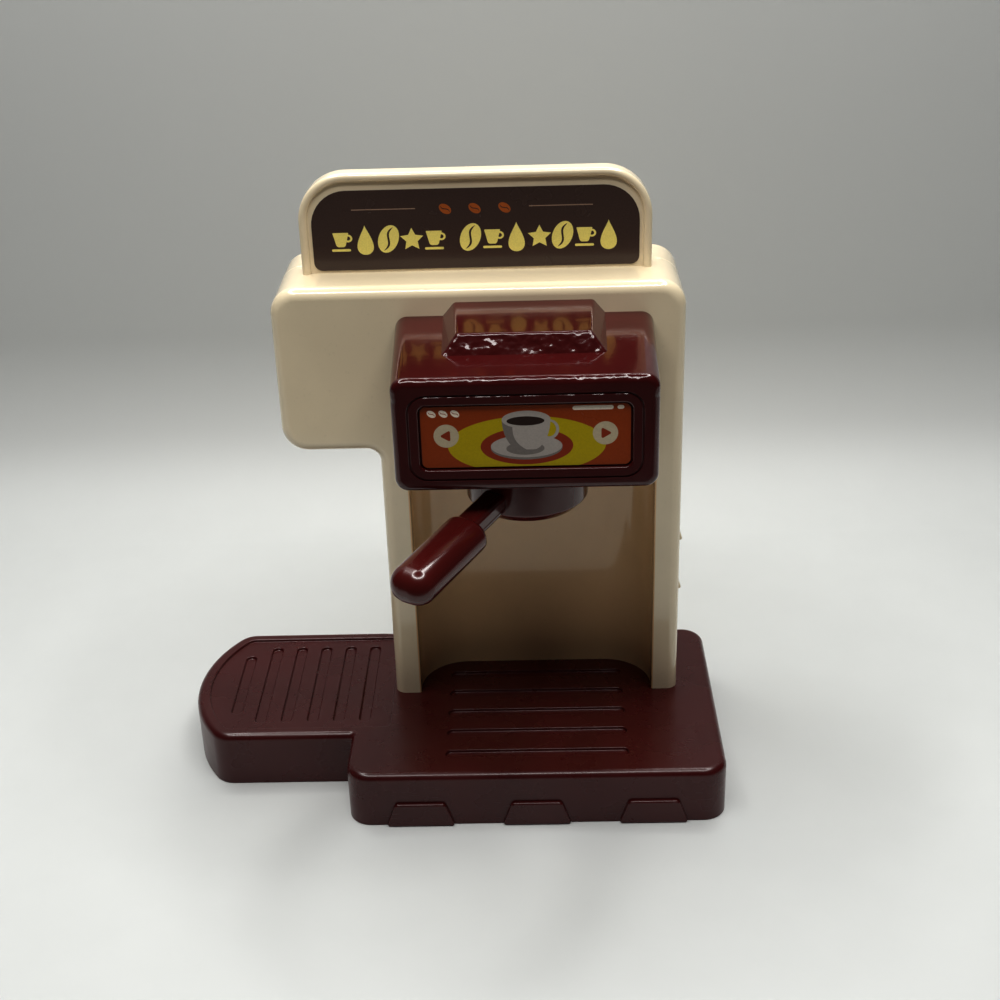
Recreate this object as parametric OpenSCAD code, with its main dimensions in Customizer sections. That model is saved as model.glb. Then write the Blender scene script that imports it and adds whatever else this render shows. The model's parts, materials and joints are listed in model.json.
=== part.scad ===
// Toy coffee maker for pretend play: a cream column with an overhanging arm on a burgundy base,
// a burgundy brewing head with a press-in display, and a portafilter that turns and drops out.
// X runs to the right, Y to the back, Z up. The origin lies on the table under the group axis,
// the upright line through the middle of the portafilter bowl.

/* [Base] */
// Reach of the main block to the left of the group axis
base_left = 68.5; // [64:0.5:76]
// Reach of the main block to the right of the group axis
base_right = 70.5; // [66:0.5:80]
// Reach of the main block in front of the group axis
base_front = 33; // [31:0.5:45]
// Reach of the base behind the group axis
base_back = 66.3; // [66:0.1:75]
// Height of the base
base_h = 22; // [20:0.5:28]
// Corner radius of the main block seen from above
base_corner_r = 8.5; // [5:0.5:12]
// Radius along the top edges of the base
base_round = 2.8; // [1.5:0.1:3.5]
// Thickness of the base's side walls
base_wall = 2.2; // [1.8:0.1:2.8]
// Thickness of the base's top wall
base_top_wall = 3.4; // [3.2:0.1:4]
// Thickness of the bottom plate
bottom_plate_t = 2.4; // [2.2:0.1:3]

/* [Side pad] */
// Reach of the side pad to the left of the group axis
pad_reach = 133; // [124:1:140]
// Reach of the side pad in front of the group axis
pad_front = 6.4; // [2:0.2:12]
// How far the side pad reaches behind the main block
pad_back_step = 0.9; // [0.4:0.1:4]
// Radius of the pad's curved left end
pad_end_r = 56; // [50:1:80]
// Radius of the pad's two left corners
pad_corner_r = 9; // [6:0.5:12]
// Depth of the pad's sunken floor
pad_floor_depth = 1.1; // [0.6:0.1:1.2]
// Width of the raised border round the pad's floor
pad_margin = 5.2; // [4:0.2:7]

/* [Grooves and tabs] */
// Width of a drip groove
groove_w = 4.2; // [3:0.1:5]
// Depth of a drip groove
groove_depth = 1.1; // [0.6:0.1:1.2]
// Number of grooves under the group
groove_count = 5; // [3:1:5]
// Distance from one groove under the group to the next
groove_pitch = 13.2; // [11:0.1:13.5]
// Length of a groove under the group
groove_len = 67.4; // [50:0.2:76]
// Number of grooves on the side pad
pad_groove_count = 6; // [3:1:6]
// Distance from one pad groove to the next
pad_groove_pitch = 10.1; // [9:0.1:10.4]
// Length of a pad groove
pad_groove_len = 53.4; // [40:0.2:58]
// Length of the outermost pad groove
pad_end_groove_len = 40.8; // [30:0.2:44]
// Number of tabs on the front wall
tab_count = 3; // [1:1:3]
// Distance from one tab to the next
tab_pitch = 42.7; // [30:0.1:44]
// Width of a tab at the table
tab_foot_w = 25.3; // [22:0.1:28]
// Width of a tab at its top
tab_top_w = 18.3; // [14:0.1:21]
// Height of a tab
tab_h = 9.9; // [7:0.1:14]
// How far a tab stands out of the front wall
tab_proud = 1.4; // [0.8:0.1:2]

/* [Column] */
// Width of the column
column_w = 110; // [107:0.5:114]
// How far the column's middle lies to the right of the group axis
column_x = 1.5; // [0:0.1:2]
// Distance of the column's front face behind the group axis
column_front = 20.8; // [20:0.2:24]
// Distance of the column's back face behind the group axis
column_back = 65.5; // [64.6:0.1:66.5]
// Height of the body's top above the table
body_top = 188.5; // [185:0.5:200]
// Reach of the overhanging arm to the left of the group axis
arm_reach = 88.6; // [86:0.2:96]
// Height of the arm's underside above the table
arm_bottom = 126.6; // [116:0.2:128]
// Corner radius of the body seen from the front
body_corner_r = 9.5; // [7:0.5:12]
// Radius along the body's front edges
body_front_round = 4; // [2.5:0.1:4.5]
// Radius along the body's back edges
body_back_round = 2; // [1:0.1:2.4]
// Radius in the corner under the arm
arm_fillet = 5; // [3:0.5:8]
// Wall thickness of the body's two housings
shell = 2.4; // [2:0.1:2.6]
// Distance of the joint between the two housings behind the group axis
parting_y = 48; // [47:0.1:49]
// How far the two nibs stand out of the column's right side
nib_proud = 0.9; // [0.4:0.1:1.4]
// Height of the upper nib above the table
nib_z = 87; // [76:0.5:104]
// Distance from one nib down to the other
nib_pitch = 21; // [12:0.5:26]

/* [Niche] */
// Width of the niche that a cup stands in
niche_w = 90; // [84:0.5:91]
// Depth of the niche behind the column's front face
niche_depth = 22; // [18:0.2:22]
// Radius of the niche's two back corners
niche_r = 18; // [12:0.5:19]

/* [Head] */
// Width of the brewing head at the column
head_back_w = 90; // [86:0.2:94]
// Width of the brewing head at its front
head_front_w = 86.2; // [82:0.2:90]
// Reach of the head in front of the group axis
head_front = 33; // [32:0.5:36]
// Height of the head's underside above the table
head_bottom = 136.4; // [134:0.2:140]
// Height of the head at the column
head_h = 41.7; // [41:0.1:44]
// How much lower the head's top is at its front
head_fall = 2; // [0.5:0.1:3]
// Corner radius of the head seen from the front
head_corner_r = 4.5; // [3.5:0.1:6]
// Radius along the head's front edges
head_round = 2.5; // [1.5:0.1:3]
// Wall thickness of the head
head_wall = 2.2; // [1.8:0.1:2.6]
// Width of the step's flat top at its front
crest_w = 44.2; // [38:0.2:48]
// Width of the step's flat top at the column
crest_back_w = 48.4; // [44:0.2:54]
// How far each side of the step slopes out down to the head's top
crest_spread = 4; // [1.5:0.1:6]
// Height of the step above the head's top
crest_h = 4.8; // [3:0.1:7]
// Reach of the crest in front of the group axis
crest_front = 10; // [8:0.2:16]
// Length of the step's front slope
crest_slope = 3.2; // [0.6:0.2:12]

/* [Display] */
// Width of the window in the head
window_w = 69; // [60:0.2:70]
// Height of the window in the head
window_h = 22.8; // [18:0.2:24]
// Height of the window's middle above the head's underside
window_rise = 19.2; // [18.6:0.1:20.4]
// Corner radius of the window
window_r = 2.6; // [1.5:0.1:4]
// How far the display lies behind the head's front
display_inset = 1.4; // [0.8:0.1:1.6]
// How far the display can be pressed in
press_travel = 1.2; // [0.6:0.1:1.4]
// Distance from the window to the thin ring line round it
ring_gap = 3.7; // [2.5:0.1:4]
// Width and depth of the ring line
ring_line = 0.6; // [0.4:0.1:0.8]

/* [Sign] */
// Reach of the sign board to the left of the group axis
sign_left = 78.2; // [72:0.2:79]
// Reach of the sign board to the right of the group axis
sign_right = 45.4; // [40:0.2:47]
// Height of the sign board above the body
sign_h = 35.8; // [32:0.1:44]
// Distance of the sign's front behind the group axis
sign_y = 37.2; // [34:0.2:38]
// Thickness of the sign board
sign_t = 7.7; // [6:0.1:8.5]
// Radius of the sign's upper corners
sign_r = 17; // [14:0.1:18]
// Width of the sign's raised rim
sign_rim = 3; // [2:0.1:3.6]
// How far the rim stands out
sign_rim_proud = 1.6; // [1:0.1:2]
// Width of the bare strip between the rim and the label, at the sides
sign_margin = 1.4; // [0.8:0.1:2.4]
// Width of the bare strip between the rim and the label, at the top
sign_top_margin = 3.2; // [1:0.1:4]
// Width of the bare strip between the label and the body
sign_foot_margin = 1; // [0.6:0.1:3]
// Thickness of a printed label
label_t = 0.3; // [0.2:0.05:0.4]

/* [Portafilter] */
// Radius of the bowl
bowl_r = 21.3; // [20.5:0.1:22.5]
// Height of the bowl under the head
bowl_h = 18.2; // [15:0.2:20]
// Height and width of the bevel under the bowl
bowl_bevel = 3; // [1:0.1:4]
// Angle of the handle to the left of straight ahead
handle_turn = 32; // [10:1:40]
// Angle of the handle below level
handle_droop = 8; // [2:0.5:9]
// Height of the handle's line above the table, at the group axis
handle_z = 126; // [124.5:0.1:127]
// Distance from the group axis to the grip
grip_start = 37.4; // [34:0.2:42]
// Length of the grip
grip_len = 38.6; // [37:0.2:48]
// Width of the grip
grip_w = 16.4; // [15:0.1:19]
// Thickness of the grip
grip_h = 13.5; // [13:0.1:15]
// Width of the neck between bowl and grip
neck_w = 8.8; // [7:0.1:10]
// Thickness of the neck
neck_h = 7.2; // [5:0.1:7.4]
// How far the neck's middle lies above the handle's line
neck_rise = 1.9; // [1:0.1:2]
// Radius of the grip's shoulder at the neck
grip_shoulder_r = 2.6; // [2.4:0.1:3.2]
// How far the seam round the grip lies below its middle
seam_drop = 2.5; // [1.5:0.1:3]

/* [Battery box] */
// Radius of a battery cell
cell_r = 7.2; // [6.9:0.05:7.25]
// Length of a battery cell
cell_len = 50.5; // [49:0.1:51]
// Height of the cells' middle above the table
cell_z = 88; // [84:0.5:100]

/* [Hidden] */
$fn = 48;

cream = [0.93, 0.87, 0.74];
burgundy = [0.36, 0.05, 0.07];
steel = [0.72, 0.73, 0.75];
board_green = [0.10, 0.36, 0.20];
black = [0.10, 0.10, 0.11];

// Clearances
fit = 0.15;          // between pieces that slide together or are set into each other
turn_fit = 0.06;     // radial clearance of the turning lock ring
hole_fit = 0.05;     // radial clearance of a screw in its pilot hole
eps = 1;             // how far a cut runs past the face it opens

// Screws
shank_r = 1.25;
pilot_r = shank_r + hole_fit;
pass_r = 1.5;        // hole that a shank passes through freely
screw_head_r = 2.5;
screw_head_h = 1.4;
sink_r = 2.8;        // counterbore round a screw head
boss_r = 3.4;
well_r = 4.2;        // tube round a sunken screw in the rear housing

// Body
column_x0 = column_x - column_w / 2;
column_x1 = column_x + column_w / 2;
arm_x0 = -arm_reach;
niche_back = column_front + niche_depth;
niche_top = head_bottom;
boss_inset = shell + boss_r - 0.6;
corner_inset = boss_inset + 1.8;
nib_len = 5;
wire_hole_w = 16;

// Base
pad_back = base_back + pad_back_step;
pad_mid_y = (pad_back - pad_front) / 2;
pad_half = (pad_back + pad_front) / 2;
plate_gap = 0.25;
base_inner_top = base_h - base_top_wall;
base_post_in = base_wall + 8;
tab_mid_x = (base_right - base_left) / 2;

// Head
head_top = head_bottom + head_h;
head_taper = atan((head_back_w - head_front_w) / 2 / (head_front + column_front));
window_z = head_bottom + window_rise;
head_fall_angle = atan(head_fall / (head_front + column_front));
crest_root = 6;      // how far the step's form reaches down into the head
head_inner_y = -head_front + head_wall;
label_gap = 0.5;     // bare strip round the display's label
flange_t = 1.6;
flange_rim = 1.8;
button_face_y = -head_front + display_inset;
button_back_y = head_inner_y + 0.1 + flange_t;
board_y = button_back_y + 7.2;
board_t = 1.6;
board_w = min(head_front_w, head_back_w) - 2 * head_wall - 2;
board_h = 33.6;
board_boss_x = board_w / 2 - 2.4;
board_boss_z = board_h / 2 - 2.4;
board_peg_r = 2.4;   // peg that the board is screwed to
board_pilot_r = 0.95;
board_pass_r = 1.2;
board_shank_r = 0.9;
board_head_r = 1.7;
board_head_h = 1.1;
board_screw_bite = 5.5; // of the board's screws, in their pegs
tact_w = 12;
tact_h = board_y - button_back_y - press_travel - 0.1;
chip_x = 12;
chip_w = 9;
chip_t = 1.5;
spring_x = 26;
spring_r = 2.8;
spring_wire = 0.7;

// Lock ring and portafilter
ring_r = 15;
ring_wall = 3;
ring_bore_r = ring_r - ring_wall;
ring_flange_r = ring_r + 2.8;
ring_flange_t = 2.9;
ring_proud = 0.4;    // how far the ring reaches below the head
ring_cut_h = head_wall + ring_flange_t + 3 * eps;
ring_seat_z = head_bottom + head_wall;
ring_seat_r = ring_flange_r + 2.2;
ring_seat_h = ring_flange_t + 0.2;
retainer_t = 1.5;
retainer_lap = 1;    // how far the retainer reaches in over the ring's neck
retainer_screw_r = ring_seat_r + 1.8;
retainer_boss_r = 3.2;
retainer_angles = [30, 150, 210, 330];
bowl_top = head_bottom - 0.8;
bowl_bottom = bowl_top - bowl_h;
bowl_wall = 2;
spigot_r = ring_bore_r - 0.1;
spigot_wall = 1.8;
spigot_h = ring_seat_z + ring_flange_t - bowl_top - 0.6;
lug_w = 6;
lug_out = 1.3;
grip_wall = 2;
grip_boss_r = 3;
tang_w = 5;
tang_h = 3;
tang_screw_x = grip_start + 10;
end_screw_in = 10.5; // from the grip's round end to its outer screw
end_screw_x = grip_start + grip_len - end_screw_in;
tang_end_x = tang_screw_x + 4;

// Battery compartment, door, switch and speaker, all in the rear housing
cell_pitch = 2 * cell_r + 0.8;
spring_contact_len = 4.4;
contact_t = 0.4;
contact_w = 10;
contact_r = 3.6;     // of a spring contact
case_wall = 1.4;
case_half_w = cell_pitch + cell_r + 0.4;
case_z0 = cell_z - cell_len / 2 - spring_contact_len - contact_t;
case_z1 = cell_z + cell_len / 2 + contact_t + 0.2;
door_t = 2;
cell_room = 1.5;     // between the cells, the case's floor and the door
case_floor_y = column_back - door_t - cell_room - 2 * cell_r;
cell_y = case_floor_y + cell_r + 0.1;
door_half_w = case_half_w + case_wall + 1.2;
door_z0 = case_z0 - case_wall - 1.2;
door_lip = 10.5;     // how far the door reaches past the compartment, for its screw
door_z1 = case_z1 + case_wall + door_lip;
door_screw_in = 5;   // from the door's upper edge to its screw
door_screw_len = 7;
door_screw_z = door_z1 - door_screw_in;
door_boss_len = 9;
finger_len = 20;     // grooves for a finger, low on the door
finger_w = 1.2;
finger_pitch = 2 * finger_w;
finger_depth = 0.5;
finger_z = door_z0 + 8;
door_seat_y = column_back - door_t - 0.05;
rear_inner_y = column_back - shell;
power_inset = 17;    // from the column's side to the middle of the switch
power_x = column_x1 - power_inset;
power_z = cell_z;
power_travel = 3;
power_w = 6;         // of the switch's case
power_len = 15;
power_t = 5;
slider_w = 2.8;      // stem of the knob, inside the switch
slider_h = 4;
knob_w = 4.6;
knob_h = 7.2;
knob_slot_h = knob_h + power_travel + 2 * fit;
switch_gap = 3;      // room between the switch and the rear wall
switch_screw_dz = 11;
switch_plate_t = 0.8;
speaker_r = 14;
speaker_t = 4.5;      // of its basket, and of the magnet behind it
magnet_r = 8;
cone_in = 2.5;        // from the basket's edge to the cone
cone_depth = 1.2;
speaker_x = arm_x0 + shell + speaker_r + 2.6;
speaker_lift = 10.6; // from the arm's floor to the speaker's edge
speaker_z = arm_bottom + shell + speaker_r + speaker_lift;
grille_pitch = 3.4;
grille_w = 1.6;

// Screw places
housing_screw_len = 14;
upper_screw_down = 18.5; // from the body's top to its upper screws
middle_screw_down = 8;   // from the arm's underside to the middle screws
foot_screw_up = 18;      // from the base's top to the lowest screws
housing_screw_xz = [
    [arm_x0 + boss_inset, body_top - upper_screw_down],
    [arm_x0 + corner_inset, arm_bottom + corner_inset],
    [column_x1 - boss_inset, body_top - upper_screw_down],
    [column_x1 - boss_inset, arm_bottom - middle_screw_down],
    [column_x0 + boss_inset, arm_bottom - middle_screw_down],
    [column_x1 - boss_inset, base_h + foot_screw_up],
    [column_x0 + boss_inset, base_h + foot_screw_up]
];
column_foot_dx = column_w / 2 - 9;
foot_boss_h = 8;         // of the bosses on the housing's floor
column_screw_bite = 6;   // of the screws that hold the column, past that floor
base_screw_short = 5;    // by how much the base screws are shorter than the tray is high inside
column_screw_front_y = parting_y - boss_r - 2;
column_screw_rear_y = parting_y + 8;
base_screw_xy = [
    [-base_left + base_post_in, -base_front + base_post_in],
    [base_right - base_post_in, -base_front + base_post_in],
    [base_right - base_post_in, base_back - base_post_in],
    [column_x, base_back - base_post_in],
    [-base_left - base_post_in, -pad_front + base_post_in],
    [-base_left - base_post_in, base_back - base_post_in],
    [-pad_reach + base_post_in + 4, pad_mid_y]
];
head_screw_x = head_back_w / 2 - head_wall - boss_r - 1;
head_screw_z = [head_bottom + head_wall + boss_r + 1.4, head_top - head_wall - boss_r - 1.4];
head_boss_len = 14;
sign_tongue_h = 11;
sign_tongue_t = 3;
sign_tongue_y = sign_y + sign_rim_proud + 1;
sign_mid_x = (sign_right - sign_left) / 2;
sign_tongue_w = sign_left + sign_right - 2 * sign_r;
sign_screw_in = 12;  // from the tongue's end to its screw
sign_screw_len = 11;
sign_screw_dx = sign_tongue_w / 2 - sign_screw_in;
label_foot_r = 3;
sign_screw_z = body_top - shell - (sign_tongue_h - shell) / 2;

// ---------- helpers ----------

// Extrudes a drawing of X and Z along Y
module along_y(y0, y1) {
    translate([0, y1, 0]) rotate([90, 0, 0]) linear_extrude(y1 - y0) children();
}

// Extrudes a drawing of Y and Z along X
module along_x(x0, x1) {
    translate([x0, 0, 0]) rotate([90, 0, 90]) linear_extrude(x1 - x0) children();
}

// Rectangle with round corners, from its lowest and highest corner
module round_rect(a, b, r) {
    translate([a.x + r, a.y]) square([b.x - a.x - 2 * r, b.y - a.y]);
    translate([a.x, a.y + r]) square([b.x - a.x, b.y - a.y - 2 * r]);
    for (x = [a.x + r, b.x - r], y = [a.y + r, b.y - r])
        translate([x, y]) circle(r);
}

// Slot with round ends along X, len long and w wide
module slot(len, w) {
    for (s = [-1, 1]) translate([s * (len - w) / 2, 0]) circle(d = w);
    translate([-(len - w) / 2, -w / 2]) square([len - w, w]);
}

// Block between two corners
module block(a, b) {
    translate(a) cube(b - a);
}

// Screw with its shank along +Z: the head's top lies below the origin, the shank starts there
module screw(len) {
    color(steel) difference() {
        union() {
            translate([0, 0, -screw_head_h]) cylinder(r = screw_head_r, h = screw_head_h);
            translate([0, 0, -eps / 2]) cylinder(r = shank_r, h = len + eps / 2);
        }
        for (a = [0, 90])
            rotate(a) translate([-1.5, -0.3, -screw_head_h - eps]) cube([3, 0.6, eps + 0.8]);
    }
}

// Turns +Z to +Y, for screws and bosses that run to the back
module facing_back() {
    rotate([-90, 0, 0]) children();
}

// Turns +Z to -Y, for screws and bosses that run to the front
module facing_front() {
    rotate([90, 0, 0]) children();
}

// ---------- base ----------

// Outline of the pad, drawn in by t: an arc of large radius with two rounded corners
module pad_outline(t) {
    r = pad_end_r - t;
    f = pad_corner_r - t;
    half = pad_half - t;
    cx = -pad_reach + pad_end_r;
    dx = sqrt(pow(r - f, 2) - pow(half - f, 2));
    touch = (half - f) * r / (r - f);
    translate([0, pad_mid_y]) {
        intersection() {
            translate([cx, 0]) circle(r, $fn = 96);
            translate([cx - r, -touch]) square([r, 2 * touch]);
        }
        for (s = [-1, 1]) translate([cx - dx, s * (half - f)]) circle(f);
        translate([cx - dx, -half]) square([-base_left - cx + dx + base_corner_r + 4, 2 * half]);
    }
}

// Outline of the main block, drawn in by t
module block_outline(t) {
    round_rect([-base_left + t, -base_front + t], [base_right - t, base_back - t], base_corner_r - t);
}

// Outline of the whole base, drawn in by t
module base_outline(t) {
    block_outline(t);
    pad_outline(t);
}

// Solid of the base: the main block and the pad, each with its top edges rounded
module base_solid() {
    hull() for (a = [0:15:90])
        linear_extrude(base_h - base_round * (1 - sin(a))) block_outline(base_round * (1 - cos(a)));
    hull() for (a = [0:15:90])
        linear_extrude(base_h - base_round * (1 - sin(a))) pad_outline(base_round * (1 - cos(a)));
}

// The grooves under the group
module group_grooves() {
    translate([0, 0, base_h - groove_depth]) linear_extrude(groove_depth + eps)
        for (i = [0:groove_count - 1])
            translate([column_x, -base_front + groove_pitch * (i + 1)]) slot(groove_len, groove_w);
}

// The pad's sunken floor and its grooves
module pad_sinking() {
    floor_z = base_h - pad_floor_depth;
    x1 = column_x0 - 1;
    translate([0, 0, floor_z]) linear_extrude(pad_floor_depth + eps) intersection() {
        pad_outline(pad_margin);
        translate([-pad_reach, -pad_front]) square([pad_reach + x1, pad_back + pad_front]);
    }
    translate([0, 0, floor_z - groove_depth]) linear_extrude(groove_depth + eps)
        for (i = [0:pad_groove_count - 1])
            translate([x1 - pad_groove_pitch * (i + 1), pad_mid_y]) rotate(90)
                slot(i < pad_groove_count - 1 ? pad_groove_len : pad_end_groove_len, groove_w);
}

// One tab of the front wall, its middle at X = 0
module tab() {
    along_y(-base_front - tab_proud, -base_front + eps)
        polygon([
            [-tab_foot_w / 2, 0], [tab_foot_w / 2, 0],
            [tab_top_w / 2, tab_h], [-tab_top_w / 2, tab_h]
        ]);
}

module base_tray() {
    color(burgundy) difference() {
        union() {
            difference() {
                base_solid();
                translate([0, 0, -eps]) linear_extrude(base_inner_top + eps) base_outline(base_wall);
            }
            for (p = base_screw_xy)
                translate([p.x, p.y, bottom_plate_t])
                    cylinder(r = boss_r, h = base_inner_top + 0.5 - bottom_plate_t);
            for (i = [0:tab_count - 1])
                translate([tab_mid_x + tab_pitch * (i - (tab_count - 1) / 2), 0, 0]) tab();
        }
        group_grooves();
        pad_sinking();
        for (p = base_screw_xy)
            translate([p.x, p.y, 0]) cylinder(r = pilot_r, h = base_inner_top - 1);
        for (s = [-1, 1], y = [column_screw_front_y, column_screw_rear_y])
            translate([column_x + s * column_foot_dx, y, 0]) cylinder(r = pass_r, h = base_h + eps);
    }
}

module base_bottom_plate() {
    color(burgundy) difference() {
        linear_extrude(bottom_plate_t) base_outline(base_wall + plate_gap);
        for (p = base_screw_xy) translate([p.x, p.y, -eps]) {
            cylinder(r = pass_r, h = bottom_plate_t + 2 * eps);
            cylinder(r = sink_r, h = screw_head_h + 0.2 + eps);
        }
    }
}

module base_screws() {
    for (p = base_screw_xy)
        translate([p.x, p.y, screw_head_h + 0.2]) screw(base_inner_top - base_screw_short);
}

module column_screws() {
    for (s = [-1, 1], y = [column_screw_front_y, column_screw_rear_y])
        translate([column_x + s * column_foot_dx, y, base_inner_top])
            screw(base_top_wall + shell + column_screw_bite);
}

// ---------- body ----------

// Box with round corners seen along Y, and a quarter-round edge of radius e round its face at y0
module soft_box(x0, x1, z0, z1, y0, y1, e) {
    r = body_corner_r;
    along_y(y0 + e, y1) round_rect([x0, z0], [x1, z1], r);
    along_y(y0, y1) round_rect([x0 + e, z0 + e], [x1 - e, z1 - e], r - e);
    for (x = [x0 + r, x1 - r], z = [z0 + r, z1 - r])
        translate([x, y0 + e, z]) rotate([90, 0, 0]) rotate_extrude() translate([r - e, 0]) circle(e);
    for (z = [z0 + e, z1 - e])
        translate([x0 + r, y0 + e, z]) rotate([0, 90, 0]) cylinder(r = e, h = x1 - x0 - 2 * r);
    for (x = [x0 + e, x1 - e])
        translate([x, y0 + e, z0 + r]) cylinder(r = e, h = z1 - z0 - 2 * r);
}

// Half of the body: a closed face at y0 with rounded edges, open at y1
module body_half(y0, y1, e) {
    below = 2 * body_corner_r;
    difference() {
        union() {
            soft_box(arm_x0, column_x1, arm_bottom, body_top, y0, y1, e);
            soft_box(column_x0, column_x1, base_h - below, body_top, y0, y1, e);
            along_y(y0 + e, y1) difference() {
                translate([column_x0 - arm_fillet, arm_bottom - arm_fillet])
                    square(arm_fillet + shell);
                translate([column_x0 - arm_fillet, arm_bottom - arm_fillet]) circle(arm_fillet);
            }
        }
        block([column_x0 - eps, y0 - eps, base_h - 2 * below], [column_x1 + eps, y1 + eps, base_h]);
        along_y(y0 + shell, y1 + eps) {
            round_rect([arm_x0 + shell, arm_bottom + shell], [column_x1 - shell, body_top - shell],
                body_corner_r - shell);
            translate([column_x0 + shell, base_h + shell])
                square([column_w - 2 * shell, arm_bottom - base_h]);
        }
    }
}

// The niche in plan, grown by t
module niche_plan(t) {
    round_rect([column_x - niche_w / 2 - t, column_front - 2 * niche_r],
        [column_x + niche_w / 2 + t, niche_back + t], niche_r + t);
}

// A small catch on the column's right side: a slope above, a short step below
module nib() {
    y0 = column_front + body_front_round + 0.4;
    along_y(y0, y0 + nib_len)
        polygon([[-shell / 2, 2.4], [0, 2.4], [nib_proud, -0.6], [nib_proud, -1.2], [-shell / 2, -2.4]]);
}

module front_housing() {
    inner_y = column_front + shell;
    color(cream) difference() {
        union() {
            body_half(column_front, parting_y, body_front_round);
            intersection() {
                translate([0, 0, base_h]) linear_extrude(niche_top + shell - base_h) niche_plan(shell);
                block([column_x0 + body_front_round, column_front, 0],
                    [column_x1 - body_front_round, parting_y, body_top]);
            }
            for (p = housing_screw_xz)
                translate([p.x, inner_y - eps, p.y]) facing_back()
                    cylinder(r = boss_r, h = parting_y - inner_y + eps);
            for (s = [-1, 1]) {
                translate([column_x + s * column_foot_dx, column_screw_front_y, base_h])
                    cylinder(r = boss_r, h = shell + foot_boss_h);
                translate([sign_mid_x + s * sign_screw_dx, inner_y - eps, sign_screw_z]) facing_back()
                    cylinder(r = boss_r, h = sign_tongue_y - inner_y + eps);
            }
            for (i = [0, 1]) translate([column_x1, 0, nib_z - i * nib_pitch]) nib();
        }
        translate([0, 0, base_h - eps]) linear_extrude(niche_top - base_h + eps) niche_plan(0);
        for (p = housing_screw_xz)
            translate([p.x, inner_y + 2, p.y]) facing_back() cylinder(r = pilot_r, h = parting_y);
        for (s = [-1, 1]) {
            translate([column_x + s * column_foot_dx, column_screw_front_y, base_h - eps])
                cylinder(r = pilot_r, h = shell + foot_boss_h + 2 * eps);
            translate([sign_mid_x + s * sign_screw_dx, inner_y + 2, sign_screw_z]) facing_back()
                cylinder(r = pilot_r, h = parting_y);
            for (z = head_screw_z)
                translate([s * head_screw_x, column_front - eps, z]) facing_back()
                    cylinder(r = pass_r, h = shell + 2 * eps);
        }
        block([-wire_hole_w / 2, column_front - eps, window_z - wire_hole_w / 2],
            [wire_hole_w / 2, inner_y + eps, window_z + wire_hole_w / 2]);
        block([sign_mid_x - sign_tongue_w / 2 - fit, sign_tongue_y - fit, body_top - shell - eps],
            [sign_mid_x + sign_tongue_w / 2 + fit, sign_tongue_y + sign_tongue_t + fit, body_top + eps]);
    }
}

module rear_housing() {
    color(cream) difference() {
        union() {
            mirror([0, 1, 0]) body_half(-column_back, -parting_y, body_back_round);
            for (p = housing_screw_xz)
                translate([p.x, parting_y, p.y]) facing_back()
                    cylinder(r = well_r, h = column_back - parting_y - 1);
            for (s = [-1, 1])
                translate([column_x + s * column_foot_dx, column_screw_rear_y, base_h])
                    cylinder(r = boss_r, h = shell + foot_boss_h);
            block([column_x - case_half_w - case_wall, case_floor_y - case_wall, case_z0 - case_wall],
                [column_x + case_half_w + case_wall, column_back - 1, case_z1 + case_wall]);
            block([column_x - door_half_w - 1.5, rear_inner_y - 2, door_z0 - 1.5],
                [column_x + door_half_w + 1.5, column_back - 1, door_z1 + 1.5]);
            translate([column_x, rear_inner_y - door_boss_len, door_screw_z]) facing_back()
                cylinder(r = boss_r, h = door_boss_len);
            translate([speaker_x, rear_inner_y - 4, speaker_z]) facing_back() difference() {
                cylinder(r = speaker_r + 1.6, h = 4 + eps);
                translate([0, 0, -eps]) cylinder(r = speaker_r + fit, h = 4 + eps);
            }
            for (s = [-1, 1])
                translate([power_x, rear_inner_y - switch_gap, power_z + s * switch_screw_dz])
                    facing_back() cylinder(r = 2.2, h = switch_gap + eps);
        }
        for (p = housing_screw_xz) translate([p.x, 0, p.y]) {
            translate([0, parting_y - eps, 0]) facing_back() cylinder(r = pass_r, h = column_back);
            translate([0, parting_y + 3, 0]) facing_back() cylinder(r = sink_r, h = column_back);
        }
        for (s = [-1, 1])
            translate([column_x + s * column_foot_dx, column_screw_rear_y, base_h - eps])
                cylinder(r = pilot_r, h = shell + foot_boss_h + 2 * eps);
        block([column_x - case_half_w, case_floor_y, case_z0],
            [column_x + case_half_w, column_back + eps, case_z1]);
        block([column_x - door_half_w - fit, door_seat_y, door_z0 - fit],
            [column_x + door_half_w + fit, column_back + eps, door_z1 + fit]);
        translate([column_x, rear_inner_y - door_boss_len + 1, door_screw_z]) facing_back()
            cylinder(r = pilot_r, h = door_boss_len + shell);
        for (i = [-3:3])
            translate([speaker_x, 0, speaker_z + i * grille_pitch])
                along_y(rear_inner_y - eps, column_back + eps) slot(2 * grille_half(i), grille_w);
        block([power_x - knob_w / 2 - fit, rear_inner_y - eps, power_z - knob_slot_h / 2],
            [power_x + knob_w / 2 + fit, column_back + eps, power_z + knob_slot_h / 2]);
        for (s = [-1, 1])
            translate([power_x, rear_inner_y - switch_gap - eps, power_z + s * switch_screw_dz])
                facing_back() cylinder(r = pilot_r, h = switch_gap + eps);
    }
}

// Half the length of the speaker's grille slot i
function grille_half(i) = sqrt(pow(speaker_r - 2, 2) - pow(i * grille_pitch, 2));

module housing_screws() {
    for (p = housing_screw_xz)
        translate([p.x, parting_y + 3, p.y]) facing_front() screw(housing_screw_len);
}

// ---------- sign ----------

// The sign's arch, drawn in by t at the top and the sides, from z0 up, with corner radius r
module arch(t, z0, r) {
    top = body_top + sign_h - t;
    x0 = -sign_left + t;
    x1 = sign_right - t;
    translate([x0, z0]) square([x1 - x0, top - r - z0]);
    translate([x0 + r, z0]) square([x1 - x0 - 2 * r, top - z0]);
    for (x = [x0 + r, x1 - r]) translate([x, top - r]) circle(r);
}

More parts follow.
